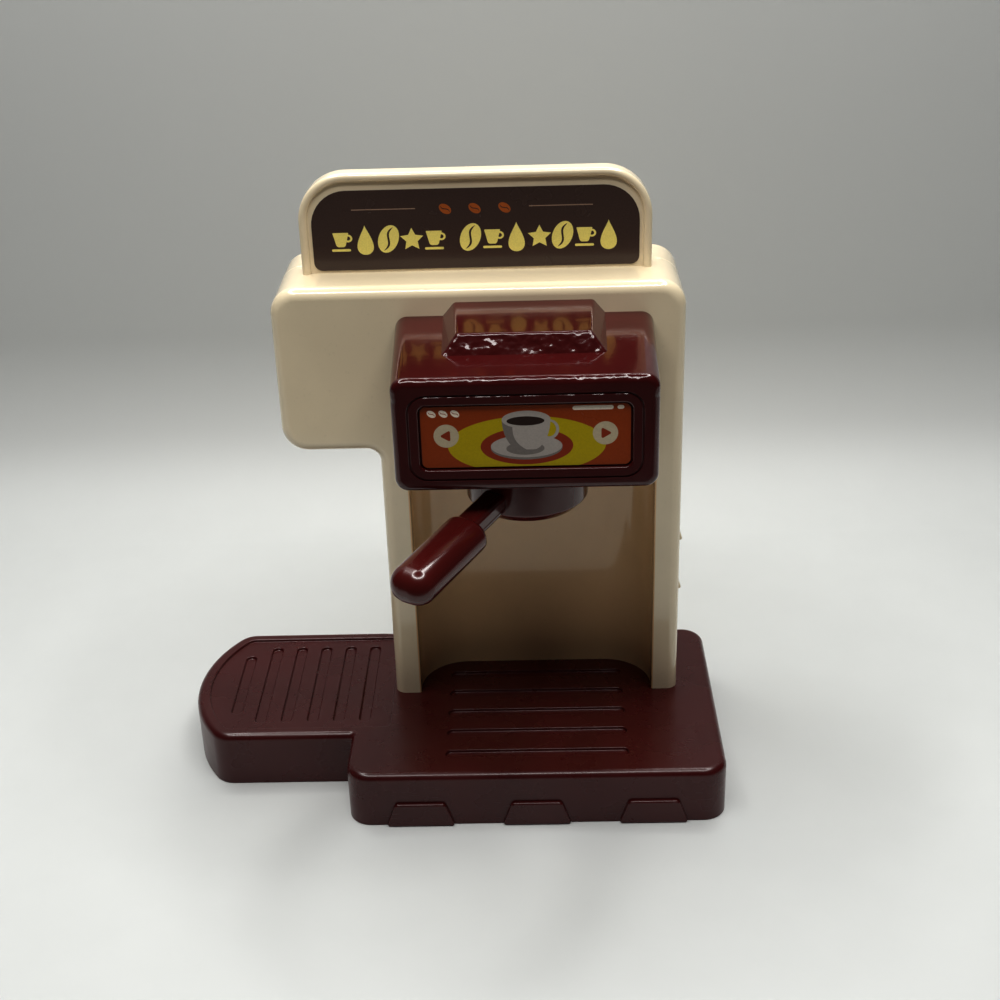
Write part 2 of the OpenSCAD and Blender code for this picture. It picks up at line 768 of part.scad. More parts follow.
module sign_board() {
    color(cream) difference() {
        union() {
            along_y(sign_y + sign_rim_proud, sign_y + sign_t) arch(0, body_top, sign_r);
            along_y(sign_y, sign_y + sign_t) difference() {
                arch(0, body_top, sign_r);
                arch(sign_rim, body_top - eps, sign_r - sign_rim);
            }
            block([sign_mid_x - sign_tongue_w / 2, sign_tongue_y, body_top - sign_tongue_h],
                [sign_mid_x + sign_tongue_w / 2, sign_tongue_y + sign_tongue_t, body_top + eps]);
        }
        for (s = [-1, 1])
            translate([sign_mid_x + s * sign_screw_dx, sign_tongue_y - eps, sign_screw_z]) facing_back()
                cylinder(r = pass_r, h = sign_tongue_t + 2 * eps);
    }
}

module sign_label() {
    t = sign_rim + sign_margin;
    z0 = body_top + sign_foot_margin;
    color([0.22, 0.09, 0.07]) along_y(sign_y + sign_rim_proud - label_t, sign_y + sign_rim_proud) {
        translate([0, sign_margin - sign_top_margin]) arch(t, z0 + 2 * label_foot_r, sign_r - t);
        round_rect([-sign_left + t, z0], [sign_right - t, z0 + 4 * label_foot_r], label_foot_r);
    }
}

module sign_screws() {
    for (s = [-1, 1])
        translate([sign_mid_x + s * sign_screw_dx, sign_tongue_y + sign_tongue_t, sign_screw_z])
            facing_front() screw(sign_screw_len);
}

// ---------- head ----------

// The head in plan: narrower to the front, with rounded front corners
module head_plan() {
    r = head_round;
    back = head_back_w / 2;
    yc = -head_front + r;
    xc = back - (column_front - yc) * tan(head_taper) - r / cos(head_taper);
    polygon([
        [-back, column_front], [-xc - r * cos(head_taper), yc], [-xc, yc - r],
        [xc, yc - r], [xc + r * cos(head_taper), yc], [back, column_front]
    ]);
    for (s = [-1, 1]) translate([s * xc, yc]) circle(r);
}

// The head seen from the side: lower to the front, with rounded front corners
module head_side() {
    r = head_round;
    yc = -head_front + r;
    zc = head_top - (column_front - yc) * tan(head_fall_angle) - r / cos(head_fall_angle);
    polygon([
        [column_front, head_bottom], [yc, head_bottom], [yc - r, head_bottom + r], [yc - r, zc],
        [yc - r * sin(head_fall_angle), zc + r * cos(head_fall_angle)], [column_front, head_top]
    ]);
    translate([yc, head_bottom + r]) circle(r);
    translate([yc, zc]) circle(r);
}

// The step on the head's top, drawn in by t: its sides and its front slope outwards to the foot
module crest(t) {
    top = head_top + crest_h - t;
    low = head_top - crest_root;
    drop = (top - low) / crest_h;
    taper = atan((crest_back_w - crest_w) / 2 / (column_front + crest_front));
    intersection() {
        along_x(-head_back_w / 2, head_back_w / 2)
            polygon([
                [column_front, low], [-crest_front - crest_slope * drop + t, low],
                [-crest_front + t, top], [column_front, top]
            ]);
        intersection_for (m = [0, 1])
            mirror([m, 0, 0]) translate([crest_w / 2 - t, -crest_front, 0]) rotate(-taper)
                along_y(-2 * crest_front, 2 * (column_front + crest_front))
                    polygon([
                        [-head_back_w, low], [crest_spread * drop, low],
                        [0, top], [-head_back_w, top]
                    ]);
    }
}

// The head's outer form
module head_form() {
    intersection() {
        translate([0, 0, head_bottom - eps]) linear_extrude(head_h + 2 * eps) head_plan();
        along_x(-head_back_w / 2, head_back_w / 2) head_side();
        along_y(-head_front, column_front)
            round_rect([-head_back_w / 2, head_bottom], [head_back_w / 2, head_top], head_corner_r);
    }
    crest(0);
}

// The room inside the head, with plain corners
module head_room() {
    back = head_back_w / 2 - head_wall;
    front = back - (column_front - head_inner_y) * tan(head_taper);
    y1 = column_front + eps;
    z0 = head_bottom + head_wall;
    z1 = head_top - head_wall;
    fall = (column_front - head_inner_y) * tan(head_fall_angle);
    intersection() {
        translate([0, 0, z0]) linear_extrude(head_h)
            polygon([[-back, y1], [-front, head_inner_y], [front, head_inner_y], [back, y1]]);
        along_x(-back, back)
            polygon([[y1, z0], [head_inner_y, z0], [head_inner_y, z1 - fall], [y1, z1]]);
    }
    crest(head_wall);
}

module window(grow, r) {
    round_rect([-window_w / 2 - grow, window_z - window_h / 2 - grow],
        [window_w / 2 + grow, window_z + window_h / 2 + grow], r);
}

module head_cover() {
    color(burgundy) difference() {
        union() {
            difference() {
                head_form();
                head_room();
            }
            for (s = [-1, 1], z = head_screw_z)
                translate([s * head_screw_x, column_front - head_boss_len, z]) facing_back() {
                    cylinder(r = boss_r, h = head_boss_len);
                    translate([s * boss_r - boss_r * 0.7, -0.8, 0])
                        cube([boss_r * 1.4, 1.6, head_boss_len]);
                }
            for (x = [-1, 1], z = [-1, 1])
                translate([x * board_boss_x, head_inner_y - eps, window_z + z * board_boss_z])
                    facing_back() cylinder(r = board_peg_r, h = board_y - head_inner_y + eps);
            translate([0, 0, ring_seat_z - eps]) difference() {
                retainer_plan(ring_seat_h + eps);
                translate([0, 0, eps]) cylinder(r = ring_flange_r + 0.2, h = ring_seat_h + eps);
            }
        }
        translate([0, 0, head_bottom - eps])
            cylinder(r = ring_r + turn_fit, h = ring_seat_h + head_wall + eps);
        along_y(-head_front - eps, head_inner_y + eps) window(0, window_r);
        along_y(-head_front - eps, -head_front + ring_line) difference() {
            window(ring_gap, window_r + ring_gap);
            window(ring_gap - ring_line, window_r + ring_gap - ring_line);
        }
        for (s = [-1, 1], z = head_screw_z)
            translate([s * head_screw_x, column_front + eps, z]) facing_front()
                cylinder(r = pilot_r, h = head_boss_len);
        for (x = [-1, 1], z = [-1, 1])
            translate([x * board_boss_x, board_y + eps, window_z + z * board_boss_z]) facing_front()
                cylinder(r = board_pilot_r, h = board_y - head_inner_y);
        for (a = retainer_angles) rotate(a) translate([retainer_screw_r, 0, head_bottom + 0.8])
            cylinder(r = pilot_r, h = ring_seat_h + head_wall);
    }
}

module head_screws() {
    for (s = [-1, 1], z = head_screw_z)
        translate([s * head_screw_x, column_front + shell, z]) facing_front()
            screw(shell + head_boss_len - 4);
}

module lock_ring() {
    color(black) difference() {
        union() {
            translate([0, 0, head_bottom - ring_proud])
                cylinder(r = ring_r, h = head_wall + ring_proud + 0.1 + ring_flange_t);
            translate([0, 0, ring_seat_z + 0.1]) cylinder(r = ring_flange_r, h = ring_flange_t);
        }
        translate([0, 0, head_bottom - eps]) cylinder(r = ring_bore_r, h = ring_cut_h);
        lugs(lug_w + 2 * fit, ring_bore_r + lug_out + fit - 0.1, head_bottom - eps,
            head_bottom + ring_cut_h);
    }
}

// The two bayonet lugs, from z0 to z1, turned with the handle
module lugs(w, reach, z0, z1) {
    rotate(270 - handle_turn) for (s = [0, 180]) rotate(s) intersection() {
        block([0, -w / 2, z0], [reach + 2, w / 2, z1]);
        translate([0, 0, z0]) cylinder(r = reach, h = z1 - z0);
    }
}

// Disc with four ears, h high, shared by the ring's seat and its retainer
module retainer_plan(h) {
    cylinder(r = ring_seat_r, h = h);
    for (a = retainer_angles) rotate(a) translate([retainer_screw_r, 0, 0])
        cylinder(r = retainer_boss_r, h = h);
}

module lock_ring_retainer() {
    color(cream) difference() {
        translate([0, 0, ring_seat_z + ring_seat_h]) retainer_plan(retainer_t);
        translate([0, 0, ring_seat_z])
            cylinder(r = ring_r - retainer_lap, h = ring_seat_h + retainer_t + eps);
        for (a = retainer_angles) rotate(a)
            translate([retainer_screw_r, 0, ring_seat_z])
                cylinder(r = pass_r, h = ring_seat_h + retainer_t + eps);
    }
}

module retainer_screws() {
    for (a = retainer_angles) rotate(a)
        translate([retainer_screw_r, 0, ring_seat_z + ring_seat_h + retainer_t]) mirror([0, 0, 1])
            screw(retainer_t + ring_seat_h + 0.8);
}

// ---------- display button and board ----------

module display_button() {
    color(burgundy) {
        along_y(button_face_y, button_back_y - flange_t + 0.1) window(-fit, window_r - fit);
        along_y(button_back_y - flange_t, button_back_y) window(flange_rim, window_r + flange_rim);
    }
}

module display_label() {
    color([0.85, 0.30, 0.05]) along_y(button_face_y - label_t, button_face_y)
        window(-fit - label_gap, window_r - fit - label_gap);
}

module button_springs() {
    color(steel) for (s = [-1, 1])
        translate([s * spring_x, button_back_y, window_z]) facing_back() difference() {
            cylinder(r = spring_r, h = board_y - button_back_y);
            translate([0, 0, -eps])
                cylinder(r = spring_r - spring_wire, h = board_y - button_back_y + 2 * eps);
        }
}

module circuit_board() {
    color(board_green) difference() {
        block([-board_w / 2, board_y, window_z - board_h / 2],
            [board_w / 2, board_y + board_t, window_z + board_h / 2]);
        for (x = [-1, 1], z = [-1, 1])
            translate([x * board_boss_x, board_y - eps, window_z + z * board_boss_z]) facing_back()
                cylinder(r = board_pass_r, h = board_t + 2 * eps);
    }
}

module board_screws() {
    color(steel) for (x = [-1, 1], z = [-1, 1])
        translate([x * board_boss_x, board_y + board_t, window_z + z * board_boss_z]) {
            facing_back() cylinder(r = board_head_r, h = board_head_h);
            facing_front() translate([0, 0, -board_head_h / 2])
                cylinder(r = board_shank_r, h = board_t + board_screw_bite);
        }
}

module tact_switch() {
    body_h = tact_h / 2;
    color(black) {
        block([-tact_w / 2, board_y - body_h, window_z - tact_w / 2],
            [tact_w / 2, board_y, window_z + tact_w / 2]);
        translate([0, board_y - body_h + 0.2, window_z]) facing_front()
            cylinder(r = tact_w / 5, h = body_h + 0.2);
    }
}

module sound_chip() {
    color(black) block([chip_x, board_y + board_t, window_z - chip_w / 2],
        [chip_x + chip_w, board_y + board_t + chip_t, window_z + chip_w / 2]);
}

// ---------- portafilter ----------

// Puts a piece drawn along +X in the handle's place
module at_handle() {
    translate([0, 0, handle_z]) rotate([0, 0, 270 - handle_turn]) rotate([0, handle_droop, 0]) children();
}

// Bar along X with edges rounded by r, from x0 to x1
module round_bar(x0, x1, w, h, r) {
    along_x(x0, x1) round_rect([-w / 2, -h / 2], [w / 2, h / 2], r);
}

// Half the grip's outline, drawn in by t: radius along X, distance from the group axis along Y
module grip_profile(t) {
    r = grip_h / 2 - t;
    s = grip_shoulder_r - t;
    near = grip_start + t;
    dome = grip_start + grip_len - grip_h / 2;
    translate([0, near]) square([r - s, dome - near]);
    translate([0, near + s]) square([r, dome - near - s]);
    translate([r - s, near + s]) circle(s);
    intersection() {
        translate([0, dome]) circle(r);
        translate([0, dome]) square(r);
    }
}

// Grip form drawn in by t: a flattened rod with a rounded shoulder and a domed end
module grip_form(t) {
    d = (grip_w - grip_h) / 2;
    for (y = [-d, d]) translate([0, y, 0]) rotate([0, 90, 0]) rotate_extrude() grip_profile(t);
    along_y(-d, d) for (m = [0, 1]) mirror([0, m]) rotate(-90) grip_profile(t);
}

module portafilter_bowl() {
    color(burgundy) difference() {
        union() {
            rotate_extrude() polygon([
                [0, bowl_bottom], [bowl_r - bowl_bevel, bowl_bottom], [bowl_r, bowl_bottom + bowl_bevel],
                [bowl_r, bowl_top], [0, bowl_top]
            ]);
            translate([0, 0, bowl_top - eps]) cylinder(r = spigot_r, h = spigot_h + eps);
            lugs(lug_w, ring_bore_r + lug_out - 0.1, bowl_top - eps, bowl_top + spigot_h);
            at_handle() {
                translate([0, 0, neck_rise])
                    round_bar(bowl_r - 3, grip_start + grip_wall + 1, neck_w, neck_h, 2);
                block([grip_start, -tang_w / 2, -seam_drop],
                    [tang_end_x, tang_w / 2, -seam_drop + tang_h]);
            }
        }
        translate([0, 0, bowl_bottom + bowl_wall + 0.4])
            cylinder(r = spigot_r - spigot_wall, h = bowl_h + spigot_h);
        translate([0, 0, bowl_bottom + bowl_bevel + 1]) difference() {
            cylinder(r = bowl_r - bowl_wall, h = bowl_h);
            translate([0, 0, -eps]) cylinder(r = spigot_r, h = bowl_h + spigot_h);
            translate([0, 0, -eps]) lugs(lug_w, bowl_r, 0, bowl_h + 2 * eps);
        }
        at_handle() translate([tang_screw_x, 0, -grip_h]) cylinder(r = pass_r, h = 2 * grip_h);
    }
}

module handle_upper_shell() {
    color(burgundy) at_handle() difference() {
        grip_form(0);
        difference() {
            grip_form(grip_wall);
            translate([tang_screw_x, 0, tang_h - seam_drop + 0.05]) cylinder(r = grip_boss_r, h = grip_h);
            translate([end_screw_x, 0, -grip_h]) cylinder(r = grip_boss_r, h = 2 * grip_h);
        }
        block([0, -grip_w, -grip_h], [grip_start + 2 * grip_len, grip_w, -seam_drop]);
        neck_slot();
        block([0, -neck_w / 2 - fit, -grip_h],
            [grip_start + grip_wall + 1.5, neck_w / 2 + fit, neck_rise]);
        for (x = [tang_screw_x, end_screw_x])
            translate([x, 0, -grip_h]) cylinder(r = pilot_r, h = 1.5 * grip_h - 2);
    }
}

module handle_lower_shell() {
    color(burgundy) at_handle() difference() {
        grip_form(0);
        difference() {
            grip_form(grip_wall);
            for (x = [tang_screw_x, end_screw_x])
                translate([x, 0, -grip_h]) cylinder(r = boss_r, h = 2 * grip_h);
        }
        block([0, -grip_w, -seam_drop], [grip_start + 2 * grip_len, grip_w, grip_h]);
        neck_slot();
        for (x = [tang_screw_x, end_screw_x]) {
            translate([x, 0, -grip_h]) cylinder(r = pass_r, h = 2 * grip_h);
            translate([x, 0, -grip_h / 2 - eps]) cylinder(r = sink_r, h = eps + screw_head_h + 0.3);
        }
    }
}

// Opening in the grip's near end that the neck passes through
module neck_slot() {
    translate([0, 0, neck_rise])
        round_bar(0, grip_start + grip_wall + 1.5, neck_w + 2 * fit, neck_h + 2 * fit, 2 + fit);
}

module handle_screws() {
    at_handle() for (x = [tang_screw_x, end_screw_x])
        translate([x, 0, -grip_h / 2 + screw_head_h + 0.3]) screw(grip_h - screw_head_h - 4);
}

// ---------- rear fittings ----------

module speaker() {
    color(black) translate([speaker_x, rear_inner_y, speaker_z]) facing_front() difference() {
        union() {
            cylinder(r = speaker_r, h = speaker_t);
            translate([0, 0, speaker_t - 0.5]) cylinder(r = magnet_r, h = speaker_t);
        }
        translate([0, 0, -eps]) cylinder(r = speaker_r - cone_in, h = eps + cone_depth);
    }
}

module battery_cells() {
    color([0.20, 0.35, 0.55]) for (i = [-1:1])
        translate([column_x + i * cell_pitch, cell_y, cell_z - cell_len / 2])
            cylinder(r = cell_r, h = cell_len);
}

module battery_contacts() {
    color(steel) for (i = [-1:1]) translate([column_x + i * cell_pitch, cell_y, 0]) {
        translate([-contact_w / 2, -contact_w / 2, case_z0]) cube([contact_w, contact_w, contact_t]);
        translate([0, 0, case_z0 + contact_t - 0.1]) difference() {
            cylinder(r = contact_r, h = spring_contact_len + 0.1);
            translate([0, 0, contact_t])
                cylinder(r = contact_r - 2 * contact_t, h = spring_contact_len + eps);
        }
        translate([-contact_w / 2, -contact_w / 2, case_z1 - contact_t])
            cube([contact_w, contact_w, contact_t]);
    }
}

module battery_door() {
    color(cream) difference() {
        block([column_x - door_half_w, column_back - door_t, door_z0],
            [column_x + door_half_w, column_back, door_z1]);
        translate([column_x, column_back - door_t - eps, door_screw_z]) facing_back() {
            cylinder(r = pass_r, h = door_t + 2 * eps);
            translate([0, 0, eps + door_t - screw_head_h]) cylinder(r = sink_r, h = door_t);
        }
        for (i = [-2:2])
            block([column_x - finger_len / 2, column_back - finger_depth, finger_z + i * finger_pitch],
                [column_x + finger_len / 2, column_back + eps, finger_z + finger_w + i * finger_pitch]);
    }
}

module battery_door_screw() {
    translate([column_x, column_back - screw_head_h, door_screw_z]) facing_front()
        screw(door_screw_len);
}

module power_switch_body() {
    y1 = rear_inner_y - switch_gap;
    plate_half = switch_screw_dz + 3;
    slide_half = (slider_h + power_travel) / 2 + fit;
    color(steel) difference() {
        union() {
            block([power_x - power_w / 2, y1 - power_t, power_z - power_len / 2],
                [power_x + power_w / 2, y1, power_z + power_len / 2]);
            block([power_x - power_w / 2, y1 - switch_plate_t, power_z - plate_half],
                [power_x + power_w / 2, y1, power_z + plate_half]);
        }
        for (s = [-1, 1])
            translate([power_x, y1 - 2, power_z + s * switch_screw_dz]) facing_back()
                cylinder(r = pass_r, h = 4);
        block([power_x - slider_w / 2 - fit, y1 - 2, power_z - slide_half],
            [power_x + slider_w / 2 + fit, y1 + eps, power_z + slide_half]);
    }
}

module power_switch_knob() {
    z = power_z - power_travel / 2;
    y1 = rear_inner_y - switch_gap;
    color(black) {
        block([power_x - slider_w / 2, y1 - 1.8, z - slider_h / 2],
            [power_x + slider_w / 2, column_back - 1, z + slider_h / 2]);
        block([power_x - knob_w / 2, column_back - 1.6, z - knob_h / 2],
            [power_x + knob_w / 2, column_back + 0.4, z + knob_h / 2]);
    }
}

module switch_screws() {
    for (s = [-1, 1])
        translate([power_x, rear_inner_y - switch_gap - switch_plate_t, power_z + s * switch_screw_dz])
            facing_back() screw(switch_gap + 0.4);
}

base_tray();
base_bottom_plate();
base_screws();
column_screws();
front_housing();
rear_housing();
housing_screws();
sign_board();
sign_label();
sign_screws();
head_cover();
head_screws();
lock_ring();
lock_ring_retainer();
retainer_screws();
display_button();
display_label();
button_springs();
circuit_board();
board_screws();
tact_switch();
sound_chip();
portafilter_bowl();
handle_upper_shell();
handle_lower_shell();
handle_screws();
speaker();
battery_cells();
battery_contacts();
battery_door();
battery_door_screw();
power_switch_body();
power_switch_knob();
switch_screws();
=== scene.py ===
"""Looks of a toy coffee maker: glossy moulded shells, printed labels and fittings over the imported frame.

Sizes are in millimetres in the frame's axes: X to the right, Y to the back, Z up, with the origin on
the table under the upright middle line of the portafilter. Shell turns them into metres.
"""
import functools
import json
import logging
import math
from dataclasses import dataclass, replace
from enum import Enum
from typing import Callable, Iterable, Sequence

import bmesh
import bpy
import numpy as np
from mathutils import Matrix
from mathutils.geometry import delaunay_2d_cdt


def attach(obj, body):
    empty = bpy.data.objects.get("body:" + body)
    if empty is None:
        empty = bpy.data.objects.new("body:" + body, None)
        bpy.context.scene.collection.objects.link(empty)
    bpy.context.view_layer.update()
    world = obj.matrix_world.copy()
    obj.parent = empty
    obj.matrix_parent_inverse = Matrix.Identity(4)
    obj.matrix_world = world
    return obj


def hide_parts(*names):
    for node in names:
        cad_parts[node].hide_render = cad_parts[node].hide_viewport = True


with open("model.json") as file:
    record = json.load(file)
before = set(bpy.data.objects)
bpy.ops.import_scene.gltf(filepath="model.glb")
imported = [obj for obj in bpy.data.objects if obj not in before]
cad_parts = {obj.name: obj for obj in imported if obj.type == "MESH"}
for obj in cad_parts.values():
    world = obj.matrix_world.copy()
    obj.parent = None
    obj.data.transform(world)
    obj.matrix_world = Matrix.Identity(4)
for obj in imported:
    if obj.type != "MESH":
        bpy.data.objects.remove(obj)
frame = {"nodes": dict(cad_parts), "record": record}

MM = 0.001
HAIR = 1e-4
QUARTER = math.pi / 2
Floats = Sequence[float]
Triple = tuple[float, float, float]
log = logging.getLogger("toy_coffee_maker")


# ---------------------------------------------------------------- drawing

def columns(*parts: np.ndarray | float) -> np.ndarray:
    """Points from their coordinates, each an array or one number for all."""
    return np.stack(np.broadcast_arrays(*parts), axis=-1)


def unit(v: np.ndarray) -> np.ndarray:
    """Vectors shortened to length one: v / |v|."""
    return v / np.linalg.norm(v, axis=-1, keepdims=True)


def right_of(d: np.ndarray) -> np.ndarray:
    """Directions turned a quarter to the right: (x, y) becomes (y, -x)."""
    return columns(d[..., 1], -d[..., 0])


def heading(angle: np.ndarray) -> np.ndarray:
    """Unit vectors at angles in radians: (cos a, sin a)."""
    return columns(np.cos(angle), np.sin(angle))


def tilted(flat: np.ndarray, degrees: float) -> np.ndarray:
    """Flat points turned to the left about zero: (x cos a - y sin a, x sin a + y cos a)."""
    c, s = math.cos(math.radians(degrees)), math.sin(math.radians(degrees))
    return flat @ np.array([[c, s], [-s, c]])


def ribbon(there: np.ndarray, back: np.ndarray) -> np.ndarray:
    """Loop that runs along one line and returns along another, drawn the same way as the first."""
    return np.concatenate([there, back[::-1]])


class View(Enum):
    """Plane that a drawing lies in. The level runs along the axis that is left."""

    PLAN = (0, 1, 2)
    FRONT = (0, 2, 1)
    SIDE = (1, 2, 0)

    def lift(self, flat: np.ndarray, level: float | np.ndarray) -> np.ndarray:
        """Places points of the drawing in space: its two axes and the level fill X, Y and Z."""
        return columns(flat[..., 0], flat[..., 1], level)[..., np.argsort(self.value)]


PLAN, FRONT, SIDE = View


@dataclass(frozen=True)
class Outline:
    """Line round a drawing: its points and, at each, the unit normal that points out of the piece."""

    points: np.ndarray
    normals: np.ndarray
    closed: bool = True

    @classmethod
    def arc(cls, middle: Floats, radius: float, first: float, last: float, steps: int = 12) -> "Outline":
        """Part of a circle: middle + radius * (cos a, sin a), with a from first to last in degrees."""
        normals = heading(np.radians(np.linspace(first, last, steps + 1)))
        return cls(np.asarray(middle, float) + radius * normals, normals, closed=False)

    @classmethod
    def corners(cls, points: Sequence[Floats], radii: float | Floats, steps: int = 6, closed: bool = True,
                ends: bool = True) -> "Outline":
        """Polygon, taken counter-clockwise, with an arc in the place of each corner.

        The arc at corner p touches both sides: with side +1 at a left turn and -1 at a right turn,
        its centre is p - side * r * (n_in + n_out) / (1 + cos turn), and its point is the centre
        plus side * r * n, where the normal n swings from n_in to n_out.

        Args:
            points: the corners.
            radii: one radius, or one for each corner that is rounded.
            steps: straight pieces in each arc.
            closed: whether the last corner joins the first.
            ends: whether an open line keeps its first and last point.

        Returns:
            The outline.
        """
        p = np.asarray(points, float)
        mid = p if closed else p[1:-1]
        before = np.roll(p, 1, axis=0) if closed else p[:-2]
        after = np.roll(p, -1, axis=0) if closed else p[2:]
        d_in, d_out = unit(mid - before), unit(after - mid)
        n_in, n_out = right_of(d_in), right_of(d_out)
        cosine = (d_in * d_out).sum(axis=1)
        turn = np.arctan2(d_in[:, 0] * d_out[:, 1] - d_in[:, 1] * d_out[:, 0], cosine)
        reach = np.where(turn < 0, -1.0, 1.0) * np.broadcast_to(radii, len(mid))
        centre = mid - (reach / (1 + cosine))[:, None] * (n_in + n_out)
        first = np.arctan2(n_in[:, 1], n_in[:, 0])
        normal = heading(first[:, None] + turn[:, None] * np.linspace(0, 1, steps + 1))
        line = (centre[:, None] + reach[:, None, None] * normal).reshape(-1, 2)
        normal = normal.reshape(-1, 2)
        if not closed and ends:
            line = np.concatenate([p[:1], line, p[-1:]])
            normal = np.concatenate([n_in[:1], normal, n_out[-1:]])
        return cls(line, normal, closed)

    @classmethod
    def rect(cls, low: Floats, high: Floats, radii: float | Floats, steps: int = 6) -> "Outline":
        """Rectangle between two corners, rounded from its right lower corner on."""
        (x0, z0), (x1, z1) = low, high
        return cls.corners([(x1, z0), (x1, z1), (x0, z1), (x0, z0)], radii, steps)

    @classmethod
    def box(cls, middle: Floats, half: Floats, radius: float, steps: int = 6) -> "Outline":
        """Rectangle round its middle."""
        return cls.rect(np.subtract(middle, half), np.add(middle, half), radius, steps)

    @classmethod
    def block(cls, low: Floats, high: Floats, radii: float | Floats, steps: int,
              middle: float = 0.0) -> "Outline":
        """Block alike on both sides of its middle, from half width and level of its foot and its top."""
        (foot, z0), (top, z1), x = low, high, middle
        return cls.corners([(x + foot, z0), (x + top, z1), (x - top, z1), (x - foot, z0)], radii, steps)

    @classmethod
    def circle(cls, middle: Floats, radius: float, steps: int = 32) -> "Outline":
        """Full circle without its first point again at the end."""
        ring = cls.arc(middle, radius, 0, 360, steps)
        return cls(ring.points[:-1], ring.normals[:-1])

    @classmethod
    def slot(cls, middle: Floats, length: float, width: float, upright: bool = False) -> "Outline":
        """Slot with half-round ends, along the drawing's first axis or, if upright, its second."""
        half = (width / 2, length / 2) if upright else (length / 2, width / 2)
        return cls.box(middle, half, width / 2 - HAIR, 8)

    @classmethod
    def join(cls, *parts: "Outline") -> "Outline":
        """Chains parts of a line and closes it."""
        return cls(np.concatenate([part.points for part in parts]),
                   np.concatenate([part.normals for part in parts]))

    def at(self, inset: float) -> np.ndarray:
        """The line drawn in: point - inset * normal."""
        return self.points - inset * self.normals


def round_over(radius: float, face: float, towards: int = 1, steps: int = 6) -> np.ndarray:
    """Quarter round from a wall up to a face: inset r(1 - cos a), level face - towards * r(1 - sin a).

    Args:
        radius: of the quarter round.
        face: level of the face.
        towards: +1 where the face looks along its axis, -1 where it looks against it.
        steps: straight pieces.

    Returns:
        Rows of inset and level.
    """
    a = np.linspace(0, QUARTER, steps + 1)
    return columns(radius * (1 - np.cos(a)), face - towards * radius * (1 - np.sin(a)))


def round_in(radius: float, face: float, towards: int = 1) -> np.ndarray:
    """Quarter round from a face into a hole: inset -r(1 - sin a), level face - towards * r(1 - cos a)."""
    a = np.linspace(0, QUARTER, 5)
    return columns(-radius * (1 - np.sin(a)), face - towards * radius * (1 - np.cos(a)))


def cut_ends(profile: np.ndarray, right: float, left: float) -> np.ndarray:
    """Ends of a swept wall where it is cut off level: along its right foot and back along its left foot."""
    inset, level = profile.T
    return ribbon(columns(right - inset, level), columns(left + inset, level))


